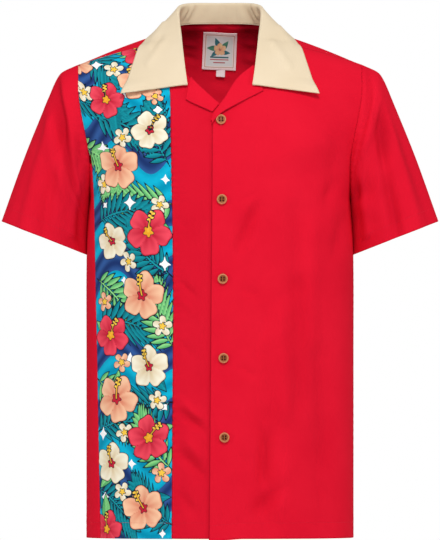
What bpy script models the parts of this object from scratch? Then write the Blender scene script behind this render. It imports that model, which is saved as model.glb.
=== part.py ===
"""Short-sleeved camp-collar shirt, filled out with no wearer and open at neck, hem and cuffs.

The frame has +X to the wearer's left, the front facing -Y and +Z up. The origin is midway
between the two shoulder seams, where the shoulders hold the shirt.
Sizes are in millimetres, and MM turns them to metres where a mesh is made.
"""
import math
from collections import namedtuple

import bmesh
import bpy
from mathutils import Vector
from mathutils.bvhtree import BVHTree

MM = 0.001
NAME = "camp_collar_shirt"

# Cloth
CLOTH_WALL = 1.2
COLLAR_WALL = 1.2
LAPEL_WALL = 1.0
LABEL_WALL = 1.0
SEAM_GAP = 0.3
PRINT_SEAM_GAP = 0.6

# Body, in plan a rounded box that narrows to the shoulders
HEM_Z = -732.0
UNDERARM_Z = -225.0
SIDE_SEAM_Y = 4.0
SQUARENESS = 2.4
SHOULDER_STRAIGHTNESS = 0.53

BodyRow = namedtuple("BodyRow", "z half_width front_y back_y")
BODY_ROWS = (
    BodyRow(HEM_Z, 199.0, -141.0, 133.0),
    BodyRow(-600.0, 199.0, -140.0, 131.0),
    BodyRow(-450.0, 199.0, -140.0, 129.0),
    BodyRow(-340.0, 199.0, -141.0, 129.0),
    BodyRow(-270.0, 197.5, -141.0, 130.5),
    BodyRow(UNDERARM_Z, 193.5, -139.5, 131.0),
)

# Armhole seam: the angle runs from the shoulder point, 0, to the underarm, 180
ARMHOLE_TOP_X = 211.0
ARMHOLE_LOW_X = 193.5
ARMHOLE_TOP_Z = -28.0
ARMHOLE_FRONT_DEPTH = 55.0
ARMHOLE_BACK_DEPTH = 62.0
ARMHOLE_CURVE = (0.15, 0.80)

# Upper body: rows that fan from the armhole seam to the middle of the neck.
# The middle lies at middle_y and stands above the row's armhole end by the rise.
# A row's turn says how squarely it meets the armhole: 1 slopes into it, 2.4 turns right round.
TopRow = namedtuple("TopRow", "angle middle_y rise turn")
FRONT_TOP_ROWS = (
    TopRow(0.0, -34.0, 48.0, 1.0),
    TopRow(30.0, -60.0, 43.0, 1.0),
    TopRow(60.0, -95.0, 35.0, 1.02),
    TopRow(90.0, -120.0, 24.0, 1.1),
    TopRow(120.0, -133.5, 13.0, 1.27),
    TopRow(135.0, -136.8, 8.5, 1.46),
    TopRow(150.0, -138.7, 5.0, 1.74),
    TopRow(165.0, -139.3, 2.2, 2.06),
    TopRow(180.0, -139.5, 0.0, SQUARENESS),
)
BACK_TOP_ROWS = (
    TopRow(0.0, -34.0, 48.0, 1.0),
    TopRow(8.0, 4.0, 66.5, 1.0),
    TopRow(16.0, 32.0, 70.0, 1.0),
    TopRow(28.0, 58.0, 72.0, 1.0),
    TopRow(45.0, 84.0, 64.5, 1.0),
    TopRow(65.0, 104.0, 49.5, 1.02),
    TopRow(90.0, 118.0, 31.0, 1.07),
    TopRow(120.0, 126.5, 16.0, 1.17),
    TopRow(135.0, 129.0, 10.5, 1.34),
    TopRow(150.0, 130.3, 6.0, 1.61),
    TopRow(165.0, 130.9, 2.7, 1.98),
    TopRow(180.0, 131.0, 0.0, SQUARENESS),
)

# Neckline: seen from above on the back, and from the front on each front.
# On a front it runs down the roll line of the lapel to the front edge.
NeckPlan = namedtuple("NeckPlan", "x y")
NECK_HALF_WIDTH = 74.0
BACK_NECK = (
    NeckPlan(0.0, 58.0),
    NeckPlan(20.0, 56.5),
    NeckPlan(40.0, 50.5),
    NeckPlan(56.0, 39.0),
    NeckPlan(67.0, 22.0),
    NeckPlan(72.0, 4.0),
    NeckPlan(NECK_HALF_WIDTH, -28.0),
)
RollPoint = namedtuple("RollPoint", "x z")
FRONT_EDGE_TOP_X = -11.5
FRONT_EDGE_HEM_X = -16.5
LEFT_ROLL = (
    RollPoint(FRONT_EDGE_TOP_X, -113.0),
    RollPoint(-6.0, -100.0),
    RollPoint(0.7, -91.0),
    RollPoint(10.0, -78.0),
    RollPoint(23.5, -56.0),
    RollPoint(33.0, -45.5),
    RollPoint(42.5, -38.0),
    RollPoint(51.5, -30.0),
    RollPoint(57.0, -22.0),
    RollPoint(66.0, -8.0),
    RollPoint(NECK_HALF_WIDTH, 9.0),
)
RIGHT_ROLL = (
    RollPoint(FRONT_EDGE_TOP_X, -104.0),
    RollPoint(0.3, -90.7),
    RollPoint(14.5, -78.0),
    RollPoint(26.0, -67.5),
    RollPoint(40.0, -54.0),
    RollPoint(50.0, -41.0),
    RollPoint(54.0, -30.0),
    RollPoint(59.0, -20.0),
    RollPoint(67.0, -7.0),
    RollPoint(NECK_HALF_WIDTH, 9.0),
)

# Long printed panel of the right front: its seams, as distances from the middle
PanelSeam = namedtuple("PanelSeam", "z inner_x outer_x")
PRINT_SEAMS = (
    PanelSeam(HEM_Z, 71.7, 177.3),
    PanelSeam(-584.0, 70.8, 180.4),
    PanelSeam(-466.0, 70.0, 182.5),
    PanelSeam(-378.0, 69.6, 184.6),
    PanelSeam(-240.0, 71.0, 187.2),
    PanelSeam(-200.0, 72.0, 189.0),
    PanelSeam(-175.0, 72.4, 190.9),
    PanelSeam(-161.5, 72.6, 193.2),
    PanelSeam(-145.0, 73.0, 205.0),
    PanelSeam(-110.0, 73.4, 240.0),
    PanelSeam(-66.0, 74.5, 240.0),
    PanelSeam(-20.0, 80.0, 240.0),
    PanelSeam(12.0, 84.0, 240.0),
)

# Sleeve: rings from the armhole to the cuff
SleeveRow = namedtuple("SleeveRow", "along top_x top_z low_x low_z front_depth back_depth middle_y curve")
SLEEVE_ROWS = (
    SleeveRow(0.00, ARMHOLE_TOP_X, ARMHOLE_TOP_Z, ARMHOLE_LOW_X, UNDERARM_Z,
              ARMHOLE_FRONT_DEPTH, ARMHOLE_BACK_DEPTH, 0.0, 1.0),
    SleeveRow(0.10, 235.0, -39.0, 197.4, -236.0, 60.0, 64.0, 1.0, 0.4),
    SleeveRow(0.16, 244.0, -51.0, 198.4, -243.0, 60.5, 63.5, 1.5, 0.1),
    SleeveRow(0.28, 256.5, -80.0, 199.4, -254.0, 59.5, 62.0, 3.0, 0.0),
    SleeveRow(0.62, 291.0, -165.0, 200.8, -284.0, 56.0, 58.0, 5.0, 0.0),
    SleeveRow(1.00, 325.5, -261.0, 201.2, -311.0, 54.0, 55.0, 6.0, 0.0),
)

# Collar, from the middle of the back to its front end: the foot of its stand, the fold
# and the edge of its leaf, the roll's radius, and how high the foot and the fold stay off the body
CollarRow = namedtuple("CollarRow", "along foot_x foot_y foot_z fold_x fold_y fold_z edge_x edge_y edge_z "
                       "radius foot_rest rest")
COLLAR_ROWS = (
    CollarRow(0, 0.0, 57.5, 33.5, 0.0, 62.0, 65.0, 0.0, 88.0, 8.0, 3.4, 0.5, 3.6),
    CollarRow(1, 38.0, 51.0, 33.0, 36.0, 55.0, 65.0, 46.0, 82.0, 7.0, 3.4, 0.5, 3.6),
    CollarRow(2, 58.0, 37.0, 31.0, 55.0, 33.0, 62.5, 85.0, 52.0, 8.0, 3.4, 0.5, 3.6),
    CollarRow(3, 68.0, 20.0, 27.0, 61.0, 8.0, 55.0, 104.0, 8.0, 15.0, 3.4, 0.5, 3.6),
    CollarRow(4, 73.0, -4.0, 20.0, 60.0, -16.0, 37.0, 117.0, -26.0, 1.0, 3.0, 0.6, 3.8),
    CollarRow(5, 71.5, -34.0, 4.0, 57.0, -42.0, 14.0, 127.5, -55.0, -27.0, 2.6, 1.2, 5.2),
    CollarRow(6, 63.5, -64.0, -17.0, 54.0, -68.0, -12.0, 137.5, -76.0, -50.0, 1.9, 3.4, 6.8),
    CollarRow(7, 57.5, -88.0, -43.0, 51.0, -93.0, -38.0, 144.0, -88.0, -62.0, 1.6, 4.3, 7.5),
    CollarRow(8, 55.0, -101.0, -61.0, 48.0, -106.0, -59.0, 148.0, -92.0, -71.5, 1.6, 4.3, 7.5),
)
COLLAR_EDGE_REST = 3.2
COLLAR_LEAF_STEPS = 5
COLLAR_STATIONS = 14

# Lapels, from the break to the notch: how far along the roll line, and the outer edge
LapelRow = namedtuple("LapelRow", "along roll_x edge_x edge_z")
LEFT_LAPEL = (
    LapelRow(0, -10.8, -9.6, -113.0),
    LapelRow(1, -5.5, -4.6, -105.5),
    LapelRow(2, 1.0, 5.0, -101.5),
    LapelRow(3, 14.0, 22.0, -91.0),
    LapelRow(4, 30.0, 43.0, -78.0),
    LapelRow(5, 50.0, 64.5, -66.5),
)
RIGHT_LAPEL = (
    LapelRow(0, 2.0, 11.5, -100.0),
    LapelRow(1, 14.0, 21.5, -95.5),
    LapelRow(2, 25.5, 32.0, -91.0),
    LapelRow(3, 36.5, 42.0, -86.5),
    LapelRow(4, 44.0, 50.5, -82.0),
)
# Across the roll: distance out from the roll line, and height over the front's outer face
LapelRoll = namedtuple("LapelRoll", "out height")
LAPEL_ROLL = (
    LapelRoll(-1.9, -1.0),
    LapelRoll(-2.2, 0.4),
    LapelRoll(-1.6, 1.7),
    LapelRoll(0.8, 2.3),
)
LAPEL_REST = 1.8
LAPEL_ALONG = 12
LAPEL_ACROSS = 4

# The left front lies over the right one
RIGHT_EDGE_X = -14.0
CORNER_DROP = 4.0
CORNER_REACH = 36.0
OVERLAP_GAP = 0.7
OVERLAP_LIFT = CLOTH_WALL + OVERLAP_GAP
OVERLAP_SPREAD = (20.0, 56.0)

# Folds: a trough where the height is below nothing, a ridge where it is above
Fold = namedtuple("Fold", "top_x top_z low_x low_z width height")
FRONT_FOLDS = (
    Fold(70.0, -470.0, 62.0, -760.0, 17.0, -4.5),
    Fold(96.0, -430.0, 102.0, -760.0, 18.0, 4.0),
    Fold(142.0, -330.0, 150.0, -760.0, 20.0, -3.5),
    Fold(62.0, -225.0, 20.0, -322.0, 13.0, -2.0),
    Fold(-128.0, -300.0, -120.0, -760.0, 24.0, -3.0),
    Fold(-40.0, -500.0, -44.0, -760.0, 15.0, 2.5),
    Fold(176.0, -120.0, 160.0, -240.0, 12.0, -3.0),
    Fold(-176.0, -120.0, -160.0, -240.0, 12.0, -3.0),
)
BACK_FOLDS = (
    Fold(92.0, -190.0, 78.0, -760.0, 24.0, -6.0),
    Fold(-88.0, -200.0, -80.0, -760.0, 24.0, -5.5),
    Fold(34.0, -300.0, 30.0, -760.0, 22.0, 5.0),
    Fold(-30.0, -280.0, -34.0, -760.0, 22.0, 4.5),
    Fold(140.0, -260.0, 146.0, -760.0, 20.0, 4.0),
    Fold(-142.0, -260.0, -148.0, -760.0, 20.0, 4.0),
    Fold(150.0, -70.0, 120.0, -190.0, 14.0, -3.0),
    Fold(-150.0, -70.0, -120.0, -190.0, 14.0, -3.0),
)
FOLD_END = 60.0
SleeveFold = namedtuple("SleeveFold", "start_angle start_along end_angle end_along width height")
SLEEVE_FOLDS = (
    SleeveFold(62.0, 0.02, 92.0, 1.10, 9.0, -5.0),
    SleeveFold(40.0, 0.05, 60.0, 1.10, 9.0, 4.0),
    SleeveFold(118.0, 0.05, 128.0, 0.90, 9.0, 3.5),
    SleeveFold(296.0, 0.05, 270.0, 1.10, 10.0, -4.5),
    SleeveFold(322.0, 0.05, 305.0, 1.10, 10.0, 4.0),
)

# Buttons down the left front
BUTTON_RADIUS = 7.5
BUTTON_HOLE_RADIUS = 0.8
BUTTON_HOLE_SPREAD = 1.45
BUTTON_STEPS = 24
BUTTON_SEAT = 0.3
BUTTON_TOP_Z = -111.5
BUTTON_PITCH = 117.6
BUTTON_TOP_X = 1.5
BUTTON_LOW_X = 6.5
BUTTON_COUNT = 5
ButtonPoint = namedtuple("ButtonPoint", "radius height")
BUTTON_PROFILE = (
    ButtonPoint(0.0, 1.7),
    ButtonPoint(4.5, 1.7),
    ButtonPoint(5.2, 2.5),
    ButtonPoint(6.6, 2.5),
    ButtonPoint(BUTTON_RADIUS, 1.7),
    ButtonPoint(BUTTON_RADIUS, 0.8),
    ButtonPoint(6.7, 0.0),
    ButtonPoint(0.0, 0.0),
)

# Labels inside the back neck
LABEL_WIDTH = 51.0
LABEL_HEIGHT = 56.0
LABEL_TOP_Z = 19.5
LABEL_TILT = math.radians(-2.4)
LABEL_REST = 0.8
TAG_WIDTH = 13.5
TAG_HEIGHT = 10.0
TAG_X = 1.0

# How finely the solids are drawn
BODY_LEVELS = 12
SIDE_LEVELS = 5
TOP_LEVELS = 13
ALL_ROWS = BODY_LEVELS + SIDE_LEVELS + TOP_LEVELS
FAN_START = 1.0 + 60.0 / 180.0
SIDE_STRIP_ROWS = BODY_LEVELS + SIDE_LEVELS + 1
SLEEVE_ALONG = (0.0, 0.05, 0.10, 0.16, 0.22, 0.30, 0.40, 0.52, 0.64, 0.76, 0.88, 1.0)


def lerp(a, b, t):
    return a + (b - a) * t


def ease(t):
    """0 before 0, 1 after 1 and a soft step between."""
    t = min(max(t, 0.0), 1.0)
    return t * t * (3.0 - 2.0 * t)


def slope(rows, i, column):
    low, high = max(i - 1, 0), min(i + 1, len(rows) - 1)
    return (rows[high][column] - rows[low][column]) / (rows[high][0] - rows[low][0])


def at(rows, key):
    """A table read between its rows: each column follows a smooth curve through them."""
    key = min(max(key, rows[0][0]), rows[-1][0])
    i = max(k for k in range(len(rows) - 1) if rows[k][0] <= key)
    span = rows[i + 1][0] - rows[i][0]
    t = (key - rows[i][0]) / span
    start_share, end_share = 1.0 - t * t * (3.0 - 2.0 * t), t * t * (3.0 - 2.0 * t)
    start_pull, end_pull = t * (1.0 - t) ** 2 * span, -t * t * (1.0 - t) * span
    values = [
        rows[i][c] * start_share + rows[i + 1][c] * end_share
        + slope(rows, i, c) * start_pull + slope(rows, i + 1, c) * end_pull
        for c in range(len(rows[0]))
    ]
    return type(rows[0])(*values)


def ring_point(row, angle):
    """A point of an armhole, sleeve or cuff ring; past 180 degrees it lies on the back."""
    turn = math.radians(angle)
    down = (1.0 - math.cos(turn)) / 2.0
    start, end = ARMHOLE_CURVE
    across = lerp(down, ease((down - start) / (end - start)), row.curve)
    depth = -row.front_depth if angle <= 180.0 else -row.back_depth
    y = row.middle_y + SIDE_SEAM_Y * down + depth * math.sin(turn)
    return Vector((lerp(row.top_x, row.low_x, across), y, lerp(row.top_z, row.low_z, down)))


def body_row(back, level):
    """The armhole or side end of a row, its middle depth, its rise and its turn.

    The level runs from the hem, 0, past the underarm, 1, to the shoulder seam, 2.
    """
    if level <= 1.0:
        row = at(BODY_ROWS, lerp(HEM_Z, UNDERARM_Z, level))
        middle_y = row.back_y if back else row.front_y
        return Vector((row.half_width, SIDE_SEAM_Y, row.z)), middle_y, 0.0, SQUARENESS
    angle = 180.0 * (2.0 - level)
    row = at(BACK_TOP_ROWS if back else FRONT_TOP_ROWS, angle)
    return ring_point(SLEEVE_ROWS[0], 360.0 - angle if back else angle), row.middle_y, row.rise, row.turn


def form_point(back, q, level):
    """A point of the plain form: q runs from the middle, 0, to the side seam or armhole, 1."""
    end, middle_y, rise, turn = body_row(back, level)
    lean = math.radians(90.0 * min(abs(q), 1.0))
    across = math.sin(lean) ** (2.0 / SQUARENESS)
    depth = math.cos(lean) ** (2.0 / turn)
    fall = SHOULDER_STRAIGHTNESS * across + (1.0 - SHOULDER_STRAIGHTNESS) * across * across
    return Vector((math.copysign(end.x * across, q), lerp(end.y, middle_y, depth), end.z + rise * (1.0 - fall)))


def share_at(back, x, level):
    """The share q at which a row passes a distance x from the middle."""
    end = body_row(back, level)[0]
    ratio = min(abs(x) / end.x, 1.0)
    return math.copysign(math.degrees(math.asin(ratio ** (SQUARENESS / 2.0))) / 90.0, x)


def form_normal(back, q, level):
    step = 0.004
    q_low, q_high = max(q - step, -1.0), min(q + step, 1.0)
    level_low, level_high = max(level - step, 0.0), min(level + step, 2.0)
    across = form_point(back, q_high, level) - form_point(back, q_low, level)
    up = form_point(back, q, level_high) - form_point(back, q, level_low)
    normal = across.cross(up).normalized()
    return -normal if back else normal


def fold_height(folds, x, z):
    """Sum of the folds at a place: each is a soft line that fades at its two ends."""
    height = 0.0
    for fold in folds:
        run = Vector((fold.low_x - fold.top_x, fold.low_z - fold.top_z))
        reach = Vector((x - fold.top_x, z - fold.top_z))
        length = run.length
        along = reach.dot(run) / length
        aside = reach.x * run.y / length - reach.y * run.x / length
        fade = ease(along / FOLD_END) * ease((length - along) / FOLD_END)
        height += fold.height * fade * math.exp(-(aside / fold.width) ** 2)
    return height


def body_point(back, side, q, level, lift=0.0):
    """A point of the cloth's outer face, with its folds; side is 1 for the wearer's left."""
    point = form_point(back, q, level)
    normal = form_normal(back, q, level)
    folds = BACK_FOLDS if back else FRONT_FOLDS
    point += normal * (fold_height(folds, side * point.x, point.z) + lift)
    point.x *= side
    return point


def neck_level(back, roll, share):
    """The level at which a column ends: the neckline, or the shoulder seam past it."""
    def inside(level):
        point = form_point(back, share(level), level)
        if abs(point.x) >= NECK_HALF_WIDTH:
            return False
        if back:
            return point.y < at(BACK_NECK, abs(point.x)).y
        return point.z > at(roll, point.x).z
    if not inside(2.0):
        return 2.0
    low, high = 1.0, 2.0
    for _ in range(24):
        middle = (low + high) / 2.0
        if inside(middle):
            high = middle
        else:
            low = middle
    return low


def row_level(row, end):
    """The level of a row of the body's grids; above FAN_START a column's rows share its own length."""
    if row <= BODY_LEVELS:
        return row / BODY_LEVELS
    if row <= BODY_LEVELS + SIDE_LEVELS:
        return lerp(1.0, FAN_START, (row - BODY_LEVELS) / SIDE_LEVELS)
    return lerp(FAN_START, end, (row - BODY_LEVELS - SIDE_LEVELS) / TOP_LEVELS)


def share_between(start, end, part):
    """A share part of the way between two, spaced evenly by width where the body is flat."""
    bend = SQUARENESS / 2.0
    low, high = (math.copysign(abs(q) ** (1.0 / bend), q) for q in (start, end))
    width = lerp(low, high, part)
    return math.copysign(abs(width) ** bend, width)


def seam_share(back, seam, level):
    """The share q of an upright seam, whose distance from the middle is seam(z)."""
    q = 0.8
    for _ in range(3):
        q = share_at(back, seam(form_point(back, q, level).z), level)
    return q


def pull(point, toward, distance):
    """The point, moved a distance towards another one."""
    return point + (toward - point).normalized() * distance


def new_material(name, colour, roughness, metallic=0.0):
    material = bpy.data.materials.new(name)
    material.use_nodes = True
    shader = material.node_tree.nodes["Principled BSDF"]
    shader.inputs["Base Color"].default_value = (*colour, 1.0)
    shader.inputs["Roughness"].default_value = roughness
    shader.inputs["Metallic"].default_value = metallic
    return material


def new_object(name, mesh, material):
    mesh.materials.clear()
    mesh.materials.append(material)
    piece = bpy.data.objects.new(name, mesh)
    parts.objects.link(piece)
    return piece


def cloth(name, columns, rows, place, wall, material, facing, tube=False):
    """A sheet of cloth: a grid bent to a form by place(i, j), then given its wall inwards.

    The facing is the direction that the outer face looks in at the middle of the sheet.
    """
    sheet = bmesh.new()
    bmesh.ops.create_grid(sheet, x_segments=columns, y_segments=rows, size=1.0)
    for vertex in sheet.verts:
        i = round((vertex.co.x + 1.0) / 2.0 * columns)
        j = round((vertex.co.y + 1.0) / 2.0 * rows)
        vertex.co = place(i, j) * MM
    if tube:
        bmesh.ops.remove_doubles(sheet, verts=sheet.verts, dist=0.01 * MM)
    sheet.normal_update()
    middle = place(columns // 2, rows // 2) * MM
    nearest = min(sheet.faces, key=lambda face: (face.calc_center_median() - middle).length)
    if nearest.normal.dot(Vector(facing)) < 0.0:
        bmesh.ops.reverse_faces(sheet, faces=sheet.faces)
    mesh = bpy.data.meshes.new(name)
    sheet.to_mesh(mesh)
    sheet.free()
    mesh.shade_smooth()
    piece = new_object(name, mesh, material)
    thickness = piece.modifiers.new("wall", "SOLIDIFY")
    thickness.thickness = wall * MM
    thickness.offset = -1.0
    return piece


def body_panel(name, back, side, zones, roll, rows, material, lift=None, drop=None, gaps=None):
    """A panel of the body. Its zones are upright strips: (share at a level, columns before it).

    Its edges keep half the seam gap; the gaps give it for the two upright ones.
    """
    gaps = gaps or (SEAM_GAP, SEAM_GAP)
    shares = [zones[0][0]]
    for (before, _), (after, count) in zip(zones, zones[1:]):
        for k in range(1, count + 1):
            shares.append(lambda level, a=before, b=after, t=k / count: share_between(a(level), b(level), t))
    ends = [neck_level(back, roll, share) for share in shares]
    last = len(shares) - 1

    def raw(i, j):
        level = row_level(j, ends[i])
        q = shares[i](level)
        x = form_point(back, q, level).x
        point = body_point(back, side, q, level, lift(x) if lift else 0.0)
        if drop:
            point.z -= drop(x, level)
        return point

    def place(i, j):
        point = raw(i, j)
        if i == 0:
            point = pull(point, raw(1, j), gaps[0] / 2.0)
        if i == last:
            point = pull(point, raw(last - 1, j), gaps[1] / 2.0)
        if j == rows:
            point = pull(point, raw(i, j - 1), SEAM_GAP / 2.0)
        return point

    cloth(name, last, rows, place, CLOTH_WALL, material, (0.0, 1.0 if back else -1.0, 0.0))


def front_edge(z):
    """The front edge lies past the middle, and a few millimetres further at the hem."""
    return lerp(FRONT_EDGE_HEM_X, FRONT_EDGE_TOP_X, min((z - HEM_Z) / (LEFT_ROLL[0].z - HEM_Z), 1.0))


def overlap_lift(x):
    """The left front passes over the right one near the middle."""
    start, end = OVERLAP_SPREAD
    return OVERLAP_LIFT * (1.0 - ease((x - start) / (end - start)))


def corner_drop(x, level):
    """The corner of the front on top hangs a little lower than the one below it."""
    return CORNER_DROP * ease((CORNER_REACH - x) / (CORNER_REACH - FRONT_EDGE_HEM_X)) * ease(1.0 - level / 0.3)


def seam_line(back, x_at):
    """An upright seam as a share for each level, from its distance at a height."""
    return lambda level: min(seam_share(back, x_at, level), 1.0)


def make_body(plain, printed):
    side_seam, far_side_seam = (lambda level: 1.0), (lambda level: -1.0)
    neck_left = seam_line(True, lambda z: NECK_HALF_WIDTH)
    neck_right = seam_line(True, lambda z: -NECK_HALF_WIDTH)
    body_panel("back", True, 1.0, [(far_side_seam, 0), (neck_right, 6), (neck_left, 10), (side_seam, 6)],
               None, ALL_ROWS, plain)

    front_neck = seam_line(False, lambda z: NECK_HALF_WIDTH)
    body_panel("front_left", False, 1.0,
               [(seam_line(False, front_edge), 0), (front_neck, 8), (side_seam, 7)],
               LEFT_ROLL, ALL_ROWS, plain, lift=overlap_lift, drop=corner_drop)

    below_overlap = seam_line(False, lambda z: RIGHT_EDGE_X)
    print_inner = seam_line(False, lambda z: at(PRINT_SEAMS, z).inner_x)
    print_outer = seam_line(False, lambda z: at(PRINT_SEAMS, z).outer_x)
    body_panel("front_right_center", False, -1.0, [(below_overlap, 0), (print_inner, 8)],
               RIGHT_ROLL, ALL_ROWS, plain, gaps=(SEAM_GAP, PRINT_SEAM_GAP))
    body_panel("front_right_print", False, -1.0, [(print_inner, 0), (print_outer, 8)],
               RIGHT_ROLL, ALL_ROWS, printed, gaps=(PRINT_SEAM_GAP, PRINT_SEAM_GAP))
    body_panel("front_right_side", False, -1.0, [(print_outer, 0), (side_seam, 4)],
               RIGHT_ROLL, SIDE_STRIP_ROWS, plain, gaps=(PRINT_SEAM_GAP, SEAM_GAP))


def sleeve_fold(angle, along):
    """Folds of a sleeve run from the armhole to the cuff and fade at the seam."""
    height = 0.0
    for fold in SLEEVE_FOLDS:
        t = (along - fold.start_along) / (fold.end_along - fold.start_along)
        middle = lerp(fold.start_angle, fold.end_angle, min(max(t, 0.0), 1.0))
        fade = ease(t / 0.3) * ease((1.0 - t) / 0.12)
        height += fold.height * fade * math.exp(-((angle - middle) / fold.width) ** 2)
    return height


def sleeve_point(side, angle, along):
    row = at(SLEEVE_ROWS, along)
    point = ring_point(row, angle)
    step = 2.0
    around = ring_point(row, angle + step) - ring_point(row, angle - step)
    down = ring_point(at(SLEEVE_ROWS, along + 0.01), angle) - ring_point(at(SLEEVE_ROWS, along - 0.01), angle)
    point += down.cross(around).normalized() * -sleeve_fold(angle, along)
    point.x *= side
    return point


def make_sleeve(name, side, material):
    """A sleeve's columns start at the ends of the body's rows, so the two meet all round."""
    half = [180.0 * (2.0 - row_level(row, 2.0)) for row in range(ALL_ROWS, BODY_LEVELS - 1, -1)]
    angles = half + [360.0 - angle for angle in half[-2::-1]]

    def raw(i, j):
        return sleeve_point(side, angles[i], SLEEVE_ALONG[j])

    def place(i, j):
        point = raw(i, j)
        if j == 0:
            point = pull(point, raw(i, 1), SEAM_GAP / 2.0)
            point.x += side * SEAM_GAP / 2.0
        return point

    cloth(name, len(angles) - 1, len(SLEEVE_ALONG) - 1, place, CLOTH_WALL, material,
          (-side, 0.0, -1.0), tube=True)


def make_form():
    """The plain form of the body as a surface to rest things on; it is not a piece."""
    points, faces = [], []
    across, up = 48, 48
    for back in (False, True):
        base = len(points)
        for j in range(up + 1):
            for i in range(across + 1):
                points.append(form_point(back, lerp(-1.0, 1.0, i / across), lerp(0.7, 2.0, j / up)))
        for j in range(up):
            for i in range(across):
                corner = base + j * (across + 1) + i
                face = (corner, corner + 1, corner + across + 2, corner + across + 1)
                faces.append(face[::-1] if back else face)
    return BVHTree.FromPolygons(points, faces)


def rest_on_form(form, point, height):
    """The point, moved out along the form's face until it stands at least this high."""
    for _ in range(3):
        near, normal, _, _ = form.find_nearest(point)
        above = (point - near).dot(normal)
        if above >= height:
            break
        point = point + normal * (height - above)
    return point


def collar_section(along):
    """Points across the collar: up the stand, round the roll and down the leaf."""
    row = at(COLLAR_ROWS, along)
    foot = Vector((row.foot_x, row.foot_y, row.foot_z))
    fold = Vector((row.fold_x, row.fold_y, row.fold_z))
    edge = Vector((row.edge_x, row.edge_y, row.edge_z))
    behind, ahead = at(COLLAR_ROWS, along - 0.05), at(COLLAR_ROWS, along + 0.05)
    line = Vector((ahead.fold_x - behind.fold_x, ahead.fold_y - behind.fold_y, ahead.fold_z - behind.fold_z))
    stand = foot - fold
    stand = (stand - stand.project(line)).normalized()
    leaf = edge - fold
    leaf = (leaf - leaf.project(line)).normalized()
    tip = -(stand + leaf).normalized()
    outward = (leaf - stand).normalized()
    radius = row.radius
    centre = fold - tip * radius
    roll = []
    for angle in (180.0, 120.0, 60.0, 0.0):
        turn = math.radians(angle)
        roll.append(centre + (outward * math.cos(turn) + tip * math.sin(turn)) * radius)
    points = [foot.lerp(roll[0], k / 3.0) for k in range(3)] + roll
    points += [roll[-1].lerp(edge, k / COLLAR_LEAF_STEPS) for k in range(1, COLLAR_LEAF_STEPS + 1)]
    return points


def make_collar(form, material):
    across = COLLAR_LEAF_STEPS + 6
    half = COLLAR_STATIONS

    def place(i, j):
        along = abs(i - half) / half * (len(COLLAR_ROWS) - 1)
        point = collar_section(along)[j]
        row = at(COLLAR_ROWS, along)
        if j >= 6:
            rest = lerp(row.rest, COLLAR_EDGE_REST, (j - 6) / COLLAR_LEAF_STEPS)
        else:
            rest = lerp(row.foot_rest, row.rest, max(j - 3, 0) / 3.0)
        point = rest_on_form(form, point, rest)
        if i < half:
            point.x = -point.x
        return point

    cloth("collar", 2 * half, across, place, COLLAR_WALL, material, (0.0, 1.0, 0.0))


def front_place(x, z):
    """The share and level at which the plain front has this x and z."""
    low, high = 0.0, 2.0
    for _ in range(30):
        level = (low + high) / 2.0
        if form_point(False, share_at(False, x, level), level).z < z:
            low = level
        else:
            high = level
    return share_at(False, x, level), level


def make_lapel(name, side, roll_line, rows, lift, material):
    """A lapel: its cloth comes round the roll line and lies back on the front."""
    last = len(rows) - 1

    def place(i, j):
        along = i / LAPEL_ALONG * last
        row = at(rows, along)
        ahead, behind = at(roll_line, row.roll_x + 1.0), at(roll_line, row.roll_x - 1.0)
        line = Vector((ahead.x - behind.x, ahead.z - behind.z)).normalized()
        outward = Vector((line.y, -line.x))
        roll = Vector((row.roll_x, at(roll_line, row.roll_x).z))
        edge = Vector((row.edge_x, row.edge_z))
        if j < len(LAPEL_ROLL):
            spot = roll + outward * LAPEL_ROLL[j].out
            height = LAPEL_ROLL[j].height
        else:
            t = (j - len(LAPEL_ROLL) + 1) / LAPEL_ACROSS
            spot = (roll + outward * LAPEL_ROLL[-1].out).lerp(edge, t)
            height = lerp(LAPEL_ROLL[-1].height, LAPEL_REST, t)
        q, level = front_place(spot.x, spot.y)
        point = form_point(False, q, level) + form_normal(False, q, level) * (height + lift(spot.x))
        point.x *= side
        return point

    cloth(name, LAPEL_ALONG, len(LAPEL_ROLL) - 1 + LAPEL_ACROSS, place, LAPEL_WALL, material, (0.0, -1.0, 0.0))


def make_button_mesh():
    """A turned blank with four holes drilled through it."""
    blank = bmesh.new()
    ring = [blank.verts.new((p.radius * MM, 0.0, p.height * MM)) for p in BUTTON_PROFILE]
    for upper, lower in zip(ring, ring[1:]):
        blank.edges.new((upper, lower))
    mesh = bpy.data.meshes.new("button_profile")
    blank.to_mesh(mesh)
    blank.free()
    turned = bpy.data.objects.new("button_blank", mesh)
    tools.objects.link(turned)
    screw = turned.modifiers.new("turn", "SCREW")
    screw.steps = screw.render_steps = BUTTON_STEPS
    screw.use_merge_vertices = True
    screw.merge_threshold = 0.001 * MM

    drill = bmesh.new()
    for x, y in ((1, 1), (-1, 1), (-1, -1), (1, -1)):
        hole = bmesh.ops.create_cone(drill, cap_ends=True, segments=8, radius1=BUTTON_HOLE_RADIUS * MM,
                                     radius2=BUTTON_HOLE_RADIUS * MM, depth=10.0 * MM)
        bmesh.ops.translate(drill, verts=hole["verts"],
                            vec=Vector((x, y, 0.0)) * BUTTON_HOLE_SPREAD * MM)
    drill_mesh = bpy.data.meshes.new("button_drills")
    drill.to_mesh(drill_mesh)
    drill.free()
    drills = bpy.data.objects.new("button_drills", drill_mesh)
    tools.objects.link(drills)
    holes = turned.modifiers.new("holes", "BOOLEAN")
    holes.operation = "DIFFERENCE"
    holes.solver = "EXACT"
    holes.object = drills
    result = bpy.data.meshes.new_from_object(turned.evaluated_get(bpy.context.evaluated_depsgraph_get()))
    for used in (turned, drills):
        bpy.data.objects.remove(used, do_unlink=True)
    result.name = "button"
    result.shade_flat()
    return result


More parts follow.
